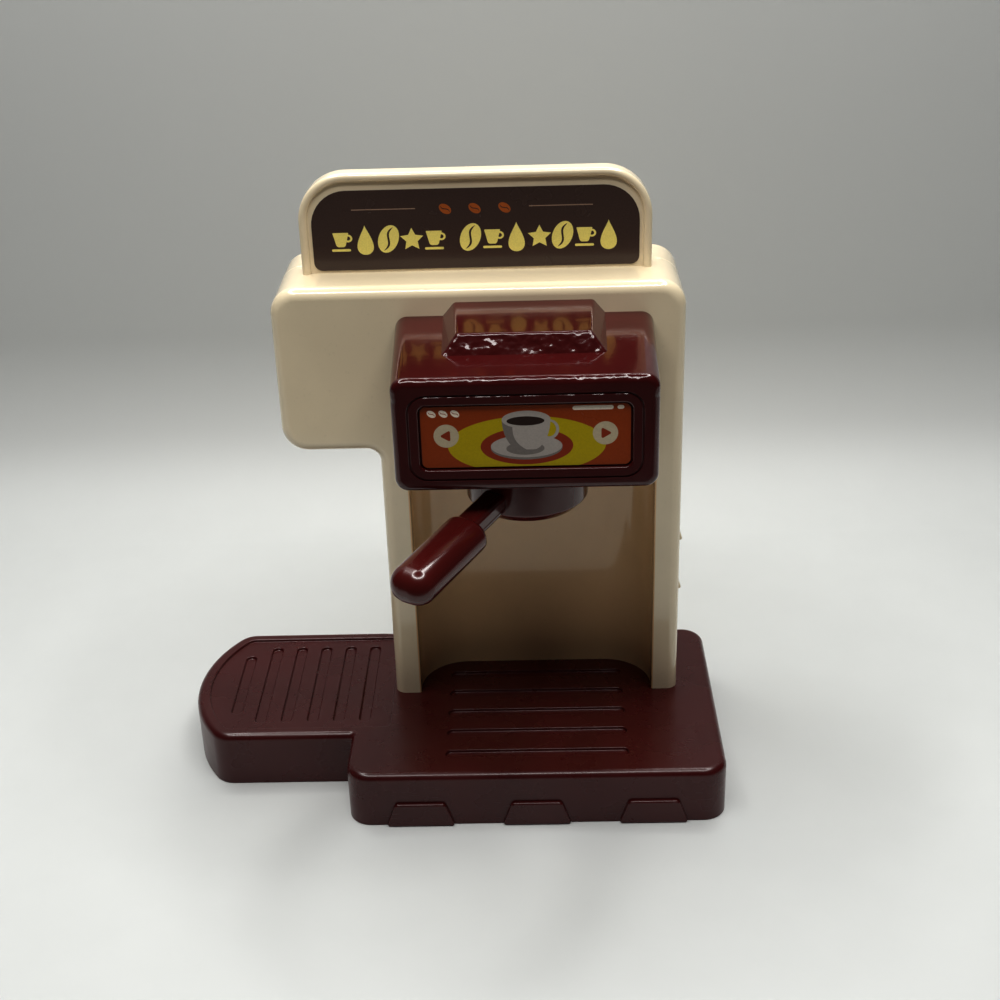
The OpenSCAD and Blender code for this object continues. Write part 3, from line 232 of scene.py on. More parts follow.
class Shell:
    """Collects the grids and faces of one piece and makes them one closed mesh."""

    def __init__(self) -> None:
        """Starts without a face."""
        self.points: list[np.ndarray] = []
        self.faces: list[list[int]] = []
        self.marks: list[np.ndarray] = []

    def add(self, points: np.ndarray, faces: np.ndarray, finish: int | np.ndarray = 0) -> None:
        """Adds points and the faces between them.

        Args:
            points: (..., 3).
            faces: numbers of each face's points.
            finish: material slot, one or one for each face.
        """
        self.faces += (faces + sum(map(len, self.points))).tolist()
        self.points.append(points.reshape(-1, 3))
        self.marks.append(np.broadcast_to(finish, len(faces)).astype(np.int32))

    def grid(self, rows: np.ndarray, closed: bool = True, finish: int = 0) -> None:
        """Adds quads between neighbours of a grid of points.

        Args:
            rows: points, (m, n, 3).
            closed: whether the last column joins the first.
            finish: material slot.
        """
        m, n = rows.shape[:2]
        index = np.arange(m * n).reshape(m, n)
        if closed:
            index = np.concatenate([index, index[:, :1]], axis=1)
        quads = np.stack([index[:-1, :-1], index[:-1, 1:], index[1:, 1:], index[1:, :-1]], axis=-1)
        self.add(rows, quads.reshape(-1, 4), finish)

    def stack(self, view: View, lines: Iterable[tuple[np.ndarray, float | np.ndarray]], closed: bool = True,
              finish: int = 0) -> None:
        """Adds quads from line to line of a drawing, each line with its own level."""
        self.grid(np.stack([view.lift(flat, level) for flat, level in lines]), closed, finish)

    def sweep(self, view: View, outline: Outline, profile: np.ndarray | Sequence, finish: int = 0) -> None:
        """Carries a profile along an outline: point - inset * normal, at the profile's level."""
        lines = [(outline.at(inset), level) for inset, level in profile]
        self.stack(view, lines, outline.closed, finish)

    def face(self, view: View, level: float, outer: np.ndarray, holes: Iterable[np.ndarray] = (),
             finish: int = 0) -> None:
        """Fills a flat face round its holes with triangles."""
        points, triangles = fill([outer, *holes])
        self.add(view.lift(points, level), triangles, finish)

    def pocket(self, view: View, outline: Outline, face: float, floor: float, rim: float, foot: float,
               holes: Iterable[np.ndarray] = (), finish: int = 0) -> np.ndarray:
        """Sinks a pocket: a rounded rim, a wall, and a floor with a small fillet.

        Args:
            view: plane of the drawing.
            outline: the pocket's wall.
            face: level of the face that it is sunk into.
            floor: level of its floor.
            rim: radius of the rim.
            foot: radius of the fillet.
            holes: loops that stay open in the floor.
            finish: material slot of the floor.

        Returns:
            Loop of the opening that the face has to leave.
        """
        self.sweep(view, outline, [*round_in(rim, face), *round_over(foot, floor, -1, 4)])
        self.face(view, floor, outline.at(foot), holes, finish)
        return outline.at(-rim)

    def slab(self, view: View, outline: Outline, back: float, front: float, edge: float,
             holes: Iterable[np.ndarray] = (), sharp_back: bool = True) -> None:
        """Adds a closed plate.

        Args:
            view: plane of the drawing.
            outline: the plate's wall.
            back: level of its back face.
            front: level of its front face.
            edge: radius round the front face.
            holes: loops that stay open in the front face.
            sharp_back: whether the back face has no such radius.
        """
        towards = 1 if front > back else -1
        start = [(0, back)] if sharp_back else round_over(edge, back, -towards, 5)[::-1]
        self.sweep(view, outline, [*start, *round_over(edge, front, towards, 5)])
        self.face(view, back, outline.at(0 if sharp_back else edge))
        self.face(view, front, outline.at(edge), holes)

    def lathe(self, profile: np.ndarray, steps: int = 96) -> None:
        """Turns a profile of radius and height about the Z axis: (r cos a, r sin a, z)."""
        turned = profile[:, :1, None] * heading(np.linspace(0, 2 * math.pi, steps, endpoint=False))
        self.grid(columns(turned[..., 0], turned[..., 1], profile[:, 1:]))

    def turn(self, matrix: np.ndarray, start: int = 0) -> None:
        """Turns and moves the point blocks from number start on: rotation * p + shift."""
        self.points[start:] = [p @ matrix[:3, :3].T + matrix[:3, 3] for p in self.points[start:]]

    def mesh(self, name: str, soft_angle: float) -> bpy.types.Mesh:
        """Makes the mesh in metres, with doubles merged, faces outward and sharp edges marked.

        Args:
            name: of the mesh.
            soft_angle: edges sharper than this many degrees stay sharp.

        Returns:
            The mesh.
        """
        mesh = bpy.data.meshes.new(name)
        mesh.from_pydata((np.concatenate(self.points) * MM).tolist(), [], self.faces)
        mesh.polygons.foreach_set("material_index", np.concatenate(self.marks))
        work = bmesh.new()
        work.from_mesh(mesh)
        bmesh.ops.remove_doubles(work, verts=work.verts, dist=1e-6)
        bmesh.ops.dissolve_degenerate(work, edges=work.edges, dist=1e-7)
        bmesh.ops.recalc_face_normals(work, faces=work.faces)
        loose = sum(not edge.is_manifold for edge in work.edges)
        work.to_mesh(mesh)
        work.free()
        if loose:
            log.warning("%s has %d open edges", name, loose)
        mesh.polygons.foreach_set("use_smooth", np.ones(len(mesh.polygons), bool))
        mesh.set_sharp_from_angle(angle=math.radians(soft_angle))
        return mesh


def fill(loops: Sequence[np.ndarray], edges_only: bool = False,
         free: np.ndarray | None = None) -> tuple[np.ndarray, np.ndarray]:
    """Triangulates between loops (constrained Delaunay).

    Args:
        loops: the outer loop, then the holes.
        edges_only: keep every triangle within the outer loop, holes or not.
        free: further points that the triangles take in.

    Returns:
        Points and triangles.
    """
    starts = np.cumsum([0, *map(len, loops)])
    rings = [list(range(start, end)) for start, end in zip(starts, starts[1:])]
    points = np.concatenate([*loops, *([] if free is None else [free])]).tolist()
    if edges_only:
        edges = [pair for ring in rings for pair in zip(ring, ring[1:] + ring[:1])]
        result = delaunay_2d_cdt(points, edges, [], 0, 1e-6)
    else:
        result = delaunay_2d_cdt(points, [], rings, 2, 1e-6)
    return np.array([tuple(v) for v in result[0]]), np.array(result[2])


def inside(points: np.ndarray, loop: np.ndarray) -> np.ndarray:
    """Which points lie in a loop: a line to the right of them crosses it an odd number of times.

    Args:
        points: (n, 2).
        loop: (m, 2).

    Returns:
        True or False for each point.
    """
    a, b = loop, np.roll(loop, -1, axis=0)
    x, y = points[:, :1], points[:, 1:]
    across = (a[:, 1] > y) != (b[:, 1] > y)
    rise = np.where(b[:, 1] == a[:, 1], 1e-12, b[:, 1] - a[:, 1])
    at = a[:, 0] + (y - a[:, 1]) * (b[:, 0] - a[:, 0]) / rise
    return ((across & (x < at)).sum(axis=1) % 2).astype(bool)


# ---------------------------------------------------------------- finishes

class Value:
    """Socket of a number in a material, with arithmetic that adds Math nodes."""

    def __init__(self, tree: "Tree", socket: bpy.types.NodeSocket) -> None:
        """Wraps a socket."""
        self.tree, self.socket = tree, socket

    def _math(self, operation: str, first: "Value | float", second: "Value | float") -> "Value":
        """Adds one Math node."""
        return self.tree.node("ShaderNodeMath", {"operation": operation}, {0: first, 1: second})

    def __add__(self, other: "Value | float") -> "Value":
        """Sum."""
        return self._math("ADD", self, other)

    def __sub__(self, other: "Value | float") -> "Value":
        """Difference."""
        return self._math("SUBTRACT", self, other)

    def __rsub__(self, other: float) -> "Value":
        """Difference from a number."""
        return self._math("SUBTRACT", other, self)

    def __mul__(self, other: "Value | float") -> "Value":
        """Product."""
        return self._math("MULTIPLY", self, other)

    __radd__, __rmul__ = __add__, __mul__

    def smooth(self, low: float, high: float) -> "Value":
        """Smooth step from 0 at low to 1 at high."""
        return self.tree.node("ShaderNodeMapRange", {"interpolation_type": "SMOOTHSTEP"},
                              {"Value": self, "From Min": low, "From Max": high})


class Tree:
    """Node tree of one material."""

    def __init__(self, name: str) -> None:
        """Makes the material, without a node."""
        self.material = bpy.data.materials.new(name)
        self.material.use_nodes = True
        self.nodes, self.links = self.material.node_tree.nodes, self.material.node_tree.links
        self.nodes.clear()

    def node(self, kind: str, settings: dict | None = None, sockets: dict | None = None,
             out: int | str = 0) -> Value:
        """Adds a node.

        Args:
            kind: Blender's name of the node type.
            settings: properties that are set first.
            sockets: numbers, tuples or Values for its inputs, by name or place.
            out: the output that is handed back.

        Returns:
            The output.
        """
        fresh = self.nodes.new(kind)
        for key, setting in (settings or {}).items():
            setattr(fresh, key, setting)
        for key, term in (sockets or {}).items():
            if isinstance(term, Value):
                self.links.new(term.socket, fresh.inputs[key])
            else:
                fresh.inputs[key].default_value = term
        return Value(self, fresh.outputs[out] if fresh.outputs else None)

    def place(self) -> Value:
        """Object coordinates, in metres in the frame's axes."""
        return self.node("ShaderNodeTexCoord", out="Object")

    def along(self, axis: str, vector: Value | None = None) -> Value:
        """One of X, Y and Z, of a vector or else of the place."""
        return self.node("ShaderNodeSeparateXYZ", sockets={0: vector or self.place()}, out=axis)

    def noise(self, scale: float, detail: float, stretch: Triple | None = None) -> Value:
        """Noise of 0 to 1.

        Args:
            scale: one over the size of its grain in metres.
            detail: how often finer noise is added.
            stretch: factors on X, Y and Z that draw it out.

        Returns:
            The noise.
        """
        where = self.place()
        if stretch:
            where = self.node("ShaderNodeMapping", sockets={"Vector": where, "Scale": stretch})
        return self.node("ShaderNodeTexNoise", sockets={"Vector": where, "Scale": scale, "Detail": detail})

    def blend(self, amount: Value, first: tuple | Value, second: tuple | Value) -> Value:
        """Mix of two colours."""
        return self.node("ShaderNodeMix", {"data_type": "RGBA"},
                         {"Factor": amount, 6: first, 7: second}, out=2)

    def bump(self, height: Value, distance: float, under: Value | None = None) -> Value:
        """Bump of a height of 0 to 1 over a distance in metres, on top of another bump."""
        sockets = {"Height": height, "Distance": distance, "Strength": 1.0}
        return self.node("ShaderNodeBump", sockets=sockets | ({"Normal": under} if under else {}))

    def surface(self, **sockets: "Value | float | tuple") -> bpy.types.Material:
        """Ends the tree in a Principled surface; an underscore in a name stands for a space."""
        named = {name.replace("_", " "): term for name, term in sockets.items()}
        shader = self.node("ShaderNodeBsdfPrincipled", sockets=named, out="BSDF")
        self.node("ShaderNodeOutputMaterial", sockets={"Surface": shader})
        return self.material


def shade(colour: Triple, times: float | Triple) -> tuple[float, ...]:
    """Colour made lighter or darker, with its alpha of 1."""
    return (*np.multiply(colour, times).tolist(), 1.0)


@dataclass(frozen=True)
class Finish:
    """Name and colour of a material."""

    name: str
    colour: Triple

    def build(self) -> bpy.types.Material:
        """Makes the material."""
        raise NotImplementedError


@dataclass(frozen=True)
class Moulded(Finish):
    """Glossy injection-moulded plastic: faint clouding, finger haze, orange peel and slow waves.

    Slopes that face ahead, above the height sparkle_from, are wavier and break up what they mirror.
    """

    roughness: float
    coat: float
    clouding: float
    peel: float
    waves: float
    wave_scale: float
    peel_scale: float = 850.0
    coat_roughness: float = 0.04
    sparkle: float = 0.0
    sparkle_from: tuple[float, float] = (0.168, 0.170)

    def build(self) -> bpy.types.Material:
        """Makes the material."""
        tree = Tree(self.name)
        cloud = tree.noise(28.0, 4.0)
        fleck = tree.noise(700.0, 2.0).smooth(0.64, 0.78)
        tint = tree.blend(cloud.smooth(0.3, 0.7), shade(self.colour, 1 - self.clouding),
                          shade(self.colour, 1 + self.clouding))
        tint = tree.blend(fleck * 0.25, tint, shade(self.colour, 0.8))
        haze = tree.noise(60.0, 5.0).smooth(0.42, 0.75)
        scuff = tree.noise(120.0, 6.0, (1.0, 1.0, 9.0)).smooth(0.62, 0.72)
        wave = tree.bump(tree.noise(self.wave_scale, 1.0), self.waves)
        if self.sparkle:
            ahead = 0.0 - tree.along("Y", tree.node("ShaderNodeNewGeometry", out="Normal"))
            sloping = ahead.smooth(0.1, 0.35) - ahead.smooth(0.9, 0.99)
            sloping = sloping * tree.along("Z").smooth(*self.sparkle_from)
            wave = tree.bump(tree.noise(250.0, 1.5) * sloping, self.sparkle, wave)
        return tree.surface(Base_Color=tint, Roughness=haze * 0.07 + scuff * 0.05 + self.roughness, IOR=1.5,
                            Coat_Weight=self.coat, Coat_Roughness=self.coat_roughness,
                            Normal=tree.bump(tree.noise(self.peel_scale, 1.5), self.peel, wave))


@dataclass(frozen=True)
class Satin(Finish):
    """Satin moulded plastic with a fine spark-eroded grain."""

    roughness: float = 0.42

    def build(self) -> bpy.types.Material:
        """Makes the material."""
        tree = Tree(self.name)
        grain = tree.noise(2600.0, 3.0)
        tint = tree.blend(tree.noise(150.0, 3.0), shade(self.colour, 0.8), shade(self.colour, 1.25))
        return tree.surface(Base_Color=tint, Roughness=grain * 0.14 + self.roughness,
                            Normal=tree.bump(grain, 1.2e-5))


@dataclass(frozen=True)
class Plated(Finish):
    """Zinc-plated steel: brushed streaks and a bluish bloom."""

    bloom: Triple = (0.85, 0.92, 1.05)

    def build(self) -> bpy.types.Material:
        """Makes the material."""
        tree = Tree(self.name)
        streak = tree.noise(900.0, 3.0, (1.0, 1.0, 0.08))
        tint = tree.blend(tree.noise(260.0, 2.0).smooth(0.35, 0.7), shade(self.colour, 1.0),
                          shade(self.colour, self.bloom))
        return tree.surface(Base_Color=tint, Metallic=1.0, Roughness=streak * 0.2 + 0.22,
                            Normal=tree.bump(streak, 6e-6))


@dataclass(frozen=True)
class Laminate(Finish):
    """Circuit board: solder mask over copper tracks with tinned pads."""

    tin: Triple = (0.6, 0.6, 0.56)

    def build(self) -> bpy.types.Material:
        """Makes the material."""
        tree = Tree(self.name)
        track = tree.node("ShaderNodeTexBrick", {"offset": 0.5},
                          {"Vector": tree.place(), "Scale": 160.0, "Mortar Size": 0.06}, out="Fac")
        pad = tree.node("ShaderNodeTexVoronoi", {"feature": "F1"},
                        {"Vector": tree.place(), "Scale": 170.0}, out="Distance").smooth(0.2, 0.14)
        tint = tree.blend(track * 0.5, shade(self.colour, 0.8), shade(self.colour, 1.7))
        return tree.surface(Base_Color=tree.blend(pad, tint, shade(self.tin, 1.0)), Metallic=pad * 0.9,
                            Roughness=0.4 - pad * 0.1, Normal=tree.bump(track, 2e-5))


@dataclass(frozen=True)
class Print(Finish):
    """Ink of a laminated sticker: even colour under film, with a faint halftone and film ripple."""

    roughness: float = 0.22

    def build(self) -> bpy.types.Material:
        """Makes the material."""
        tree = Tree(self.name)
        dots = tree.noise(1900.0, 1.0).smooth(0.35, 0.65)
        ripple = tree.bump(tree.noise(110.0, 1.0), 1.2e-5)
        return tree.surface(Base_Color=tree.blend(dots, shade(self.colour, 0.96), shade(self.colour, 1.03)),
                            Roughness=tree.noise(90.0, 3.0) * 0.08 + self.roughness,
                            Coat_Weight=0.2, Coat_Roughness=0.08, Normal=tree.bump(dots, 8e-7, ripple))


@functools.cache
def made(finish: Finish) -> bpy.types.Material:
    """Material of a finish, made once."""
    return finish.build()


DEEP_RED = (0.064, 0.0065, 0.0065)
CREAM = Moulded("cream_plastic", (0.86, 0.74, 0.54), roughness=0.14, coat=0.6, clouding=0.04, peel=3e-6,
                waves=3e-5, wave_scale=30.0)
# Painted shade: the niche's faces get a warmer, darker copy of the same cream plastic, standing in for the
# shade and warm bounce light inside the recess.
NICHE_PAINTED_SHADE = replace(CREAM, name="cream_niche_painted_shade", colour=(0.90, 0.64, 0.36))
# Painted light: the same burgundy plastic as DEEP_RED, painted lighter because more light falls on the
# portafilter than on the head; it also dresses the display plate and the frame's burgundy nodes.
BURGUNDY_PAINTED_LIT = Moulded("burgundy_plastic", (0.085, 0.0088, 0.0075), roughness=0.15, coat=0.35, clouding=0.10,
                   peel=6e-6, waves=6e-5, wave_scale=110.0)
HEAD_RED = replace(BURGUNDY_PAINTED_LIT, name="burgundy_head", colour=DEEP_RED, roughness=0.13, coat=0.3, peel=1.2e-5,
                   waves=9e-5, sparkle=8e-4)
BASE_RED = replace(BURGUNDY_PAINTED_LIT, name="burgundy_base", colour=DEEP_RED, roughness=0.27, coat=0.12, peel=1.2e-5,
                   coat_roughness=0.14)
BLACK = Satin("black_plastic", (0.016, 0.016, 0.018))
STEEL = Plated("zinc_steel", (0.60, 0.61, 0.62))
LAMINATE = Laminate("board_laminate", (0.02, 0.14, 0.05))
SLEEVE = Print("cell_sleeve", (0.03, 0.10, 0.28))
# Painted shadow: a near-black floor for the knob slot and the grille slots, standing in for the shade inside
# them.
SHADOW = Satin("painted_shadow_gap", (0.006, 0.006, 0.006), 0.7)


class Ink(Enum):
    """Inks of the two printed labels, in the order of their material slots."""

    BROWN = Print("ink_brown", (0.072, 0.046, 0.038))
    YELLOW = Print("ink_yellow", (0.92, 0.80, 0.26))
    COPPER = Print("ink_copper", (0.43, 0.125, 0.030))
    LINE = Print("ink_line", (0.38, 0.26, 0.19))
    ORANGE = Print("ink_orange", (0.34, 0.058, 0.005))
    GOLD = Print("ink_gold", (0.53, 0.405, 0.003))
    RUST = Print("ink_rust", (0.31, 0.042, 0.010))
    WHITE = Print("ink_white", (0.49, 0.44, 0.40))
    GREY = Print("ink_grey", (0.25, 0.22, 0.20))
    SOFT = Print("ink_soft_white", (0.60, 0.51, 0.36))
    BRIGHT = Print("ink_bright", (0.95, 0.84, 0.70))
    COFFEE = Print("ink_coffee", (0.036, 0.018, 0.013))


SLOT_FINISH = {
    "cream_plastic": CREAM, "burgundy_plastic": BURGUNDY_PAINTED_LIT, "black_plastic": BLACK, "zinc_steel": STEEL,
    "board_laminate": LAMINATE, "cell_sleeve": SLEEVE, "sign_print": Ink.BROWN.value,
    "display_print": Ink.ORANGE.value,
}


def place_piece(name: str, shell: Shell, finishes: Sequence[Finish], node: str,
                body: str = "root", soft_angle: float = 34.0) -> None:
    """Makes a piece of a shell, dresses it and hangs it on its body in the place of its node.

    Args:
        name: of the piece.
        shell: its faces.
        finishes: one for each material slot.
        node: the frame's node that it stands for.
        body: body that it rides on.
        soft_angle: edges sharper than this many degrees stay sharp.
    """
    piece = bpy.data.objects.new(name, shell.mesh(name, soft_angle))
    bpy.context.scene.collection.objects.link(piece)
    for finish in finishes:
        piece.data.materials.append(made(finish))
    even = piece.modifiers.new("even_shading", "WEIGHTED_NORMAL")
    even.keep_sharp = True
    even.weight = 80
    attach(piece, body)
    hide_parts(node)
    log.info("%s: %d faces on %s", name, len(piece.data.polygons), body)


# ---------------------------------------------------------------- base

@dataclass
class Base:
    """Burgundy tray: the main block, the side pad with its sunken floor, grooves and front tabs."""

    left: float = -68.5
    right: float = 70.5
    front: float = -33.0
    back: float = 66.3
    height: float = 22.0
    corner_r: float = 8.5
    edge_r: float = 2.8
    foot_bevel: float = 0.25
    wall: float = 2.2
    ceiling: float = 18.6
    pad_left: float = -133.0
    pad_front: float = -6.4
    pad_back: float = 67.2
    pad_end_r: float = 56.0
    pad_corner_r: float = 9.0
    pad_margin: float = 5.2
    pad_step: tuple[float, float] = (18.5, 6.5)
    floor_x: float = -54.5
    floor_depth: float = 1.1
    floor_rim: float = 0.7
    floor_foot: float = 0.35
    groove_w: float = 4.2
    groove_depth: float = 1.1
    groove_rim: float = 0.5
    groove_foot: float = 0.6
    group_x: float = 1.5
    group_pitch: float = 13.2
    group_len: float = 67.4
    group_count: int = 5
    pad_pitch: float = 10.1
    pad_lens: tuple[float, ...] = (53.4, 53.4, 53.4, 53.4, 53.4, 40.8)
    tab_pitch: float = 42.7
    tab_foot: float = 12.65
    tab_top: float = 9.15
    tab_h: float = 9.9
    tab_proud: float = 1.4
    tab_root: float = 1.5
    tab_edge: float = 0.8

    def pad_end(self, inset: float) -> Outline:
        """Left end of the pad, back to front: a small arc, the wide end arc and a small arc again.

        The small arcs touch the end arc from inside: their centres lie (end_r - corner_r) from its
        centre, and half the pad's width less corner_r from its middle line.

        Args:
            inset: how far the line is drawn in.

        Returns:
            The open line.
        """
        middle, half = (self.pad_back + self.pad_front) / 2, (self.pad_back - self.pad_front) / 2 - inset
        wide, small = self.pad_end_r - inset, self.pad_corner_r - inset
        centre_x = self.pad_left + self.pad_end_r
        reach, rise = wide - small, half - small
        run = math.sqrt(reach ** 2 - rise ** 2)
        tilt = math.degrees(math.asin(rise / reach))
        return Outline.join(
            Outline.arc((centre_x - run, middle + rise), small, 90, 180 - tilt, 8),
            Outline.arc((centre_x, middle), wide, 180 - tilt, 180 + tilt, 32),
            Outline.arc((centre_x - run, middle - rise), small, 180 + tilt, 270, 8))

    def outline(self) -> Outline:
        """Whole base in plan."""
        left, right, r = self.left, self.right, self.corner_r
        step_in, step_out = self.pad_step
        block = Outline.corners(
            [(self.pad_left, self.pad_front), (left, self.pad_front), (left, self.front),
             (right, self.front), (right, self.back), (left + step_in, self.back),
             (left + step_out, self.pad_back), (self.pad_left, self.pad_back)],
            [1.0, r, r, r, 3.0, 3.0], 10, closed=False, ends=False)
        return Outline.join(block, self.pad_end(0))

    def floor_outline(self) -> Outline:
        """Sunken floor of the pad in plan."""
        x, low, high = self.floor_x, self.pad_front + self.pad_margin, self.pad_back - self.pad_margin
        right = Outline.corners([(self.pad_left, low), (x, low), (x, high), (self.pad_left, high)], 1.5, 4,
                                closed=False, ends=False)
        return Outline.join(right, self.pad_end(self.pad_margin))

    def groove(self, shell: Shell, middle: Floats, length: float, face: float, upright: bool) -> np.ndarray:
        """Sinks one groove into a face of the shell and hands back its opening."""
        return shell.pocket(PLAN, Outline.slot(middle, length, self.groove_w, upright), face,
                            face - self.groove_depth, self.groove_rim, self.groove_foot)

    def build(self) -> None:
        """Makes the tray."""
        shell, top, outline = Shell(), self.height, self.outline()
        bevel, floor, room = self.foot_bevel, top - self.floor_depth, outline.at(self.wall)
        middle = (self.pad_back + self.pad_front) / 2
        shell.sweep(PLAN, outline, [(bevel, 0.0), (0.0, bevel), *round_over(self.edge_r, top, 1, 9)])
        sunk = [self.groove(shell, (self.floor_x - self.pad_pitch * i, middle), length, floor, True)
                for i, length in enumerate(self.pad_lens, 1)]
        pad = shell.pocket(PLAN, self.floor_outline(), top, floor, self.floor_rim, self.floor_foot, sunk)
        rows = self.front + self.group_pitch * np.arange(1, self.group_count + 1)
        holes = [self.groove(shell, (self.group_x, y), self.group_len, top, False) for y in rows]
        shell.face(PLAN, top, outline.at(self.edge_r), [pad, *holes])
        shell.face(PLAN, 0.0, outline.at(bevel), [room])
        shell.stack(PLAN, [(room, 0.0), (room, self.ceiling)])
        shell.face(PLAN, self.ceiling, room)
        for i in (-1, 0, 1):
            tab = Outline.block((self.tab_foot, 0.0), (self.tab_top, self.tab_h), [0.9, 1.8, 1.8, 0.9], 5,
                                (self.right + self.left) / 2 + i * self.tab_pitch)
            shell.slab(FRONT, tab, self.front + self.tab_root, self.front - self.tab_proud, self.tab_edge)
        place_piece("base_shell", shell, [BASE_RED], "base_tray")


# ---------------------------------------------------------------- body

@dataclass
class Body:
    """Cream column with its overhanging arm, made of a front and a rear housing."""

    x0: float = -53.5
    x1: float = 56.5
    front: float = 20.8
    back: float = 65.5
    foot: float = 22.0
    top: float = 188.5
    arm_x: float = -88.6
    arm_z: float = 126.6
    corner_r: float = 9.5
    front_r: float = 4.0
    back_r: float = 2.0
    arm_fillet: float = 5.0
    parting: float = 48.0
    seam: float = 0.3
    niche_x0: float = -43.5
    niche_x1: float = 46.5
    niche_back: float = 42.8
    niche_r: float = 18.0
    niche_top: float = 136.4
    niche_edge: float = 0.6
    nib_z: tuple[float, ...] = (87.0, 66.0)
    nib_in: float = 1.2
    nib_half: float = 2.4
    nib_tip: tuple[float, float] = (-1.2, -0.6)
    nib_gap: float = 0.4
    nib_len: float = 5.0
    nib_proud: float = 0.9
    screw_floor: float = 51.0
    well_r: float = 2.8

    def outline(self) -> Outline:
        """Column and arm seen from the front, from the right foot over the top to the left foot."""
        r = self.corner_r
        return Outline.corners(
            [(self.x1, self.foot), (self.x1, self.top), (self.arm_x, self.top), (self.arm_x, self.arm_z),
             (self.x0, self.arm_z), (self.x0, self.foot)], [r, r, r, self.arm_fillet], 12, closed=False)

    def front_housing(self) -> None:
        """Front housing: rounded front edges, the niche with its crisp rim and painted shade, and two side
        nibs.
        """
        shell, outline = Shell(), self.outline()
        e, y, x0, x1 = self.niche_edge, self.front, self.niche_x0, self.niche_x1
        profile = np.concatenate([round_over(self.front_r, y, -1, 10)[::-1],
                                  round_over(self.seam, self.parting, 1, 3)])
        shell.sweep(FRONT, outline, profile)
        shell.face(FRONT, self.parting, outline.at(self.seam))
        niche = Outline.corners(
            [(x1 + e, y), (x1, y), (x1, self.niche_back), (x0, self.niche_back), (x0, y), (x0 - e, y)],
            [e, self.niche_r, self.niche_r, e], 14, closed=False).points
        # Material slot 1 paints the niche's walls and ceiling with the recess's painted shade.
        shell.stack(PLAN, [(niche, self.foot), (niche, self.niche_top)], closed=False, finish=1)
        shell.face(PLAN, self.niche_top, niche, finish=1)
        left, right = x0 - e, x1 + e
        notch = [(left, self.foot), (left, self.niche_top), (right, self.niche_top), (right, self.foot)]
        shell.face(FRONT, y, np.concatenate([outline.at(self.front_r), notch]))
        shell.face(PLAN, self.foot, np.concatenate([cut_ends(profile, self.x1, self.x0), niche[::-1]]))
        inner, outer = self.x1 - self.nib_in, self.x1 + self.nib_proud
        nib_y = y + self.front_r + self.nib_gap
        for z in self.nib_z:
            low, high = z - self.nib_half, z + self.nib_half
            tip = [(outer, z + up) for up in self.nib_tip]
            nib = Outline.corners([(inner, low), *tip, (self.x1, high), (inner, high)], 0.25, 3)
            shell.slab(FRONT, nib, nib_y + self.nib_len, nib_y, 0.2, sharp_back=False)
        place_piece("front_shell", shell, [CREAM, NICHE_PAINTED_SHADE], "front_housing")

    def rear_housing(self, fittings: "RearFittings") -> None:
        """Rear housing: battery compartment, switch slot and speaker grille with painted shadow on their
        floors, and sunken screws.

        Args:
            fittings: sizes of what sits in its back.
        """
        shell, outline, back, f = Shell(), self.outline(), self.back, fittings
        profile = np.concatenate([round_over(self.seam, self.parting, -1, 3)[::-1],
                                  round_over(self.back_r, back, 1, 8)])
        shell.sweep(FRONT, outline, profile)
        cell_rim = shell.pocket(FRONT, f.area(f.case, 0.0, 0.6), f.seat_y, f.case_floor, 0.3, 0.3)
        # Slot 1 paints the floors of the knob slot and the grille slots with painted shadow.
        holes = [shell.pocket(FRONT, f.area(f.plate, f.fit, 0.6), back, f.seat_y, 0.3, 0.2, [cell_rim]),
                 shell.pocket(FRONT, f.knob_slot(), back, back - f.knob_room, 0.3, 0.1, finish=1)]
        holes += [shell.pocket(FRONT, slot, back, back - f.grille_depth, 0.25, 0.1, finish=1)
                  for slot in f.grille()]
        holes += [shell.pocket(FRONT, Outline.circle(place, self.well_r), back, self.screw_floor, 0.35, 0.2)
                  for place in f.screw_places(self)]
        shell.face(FRONT, back, outline.at(self.back_r), holes)
        boss, boss_y = f.area(f.case, f.case_wall, 1.0).points, f.case_floor - f.case_wall
        shell.stack(FRONT, [(boss, self.parting), (boss, boss_y)])
        shell.face(FRONT, boss_y, boss)
        shell.face(FRONT, self.parting, outline.at(self.seam), [boss])
        shell.face(PLAN, self.foot, cut_ends(profile, self.x1, self.x0))
        place_piece("rear_shell", shell, [CREAM, SHADOW], "rear_housing")


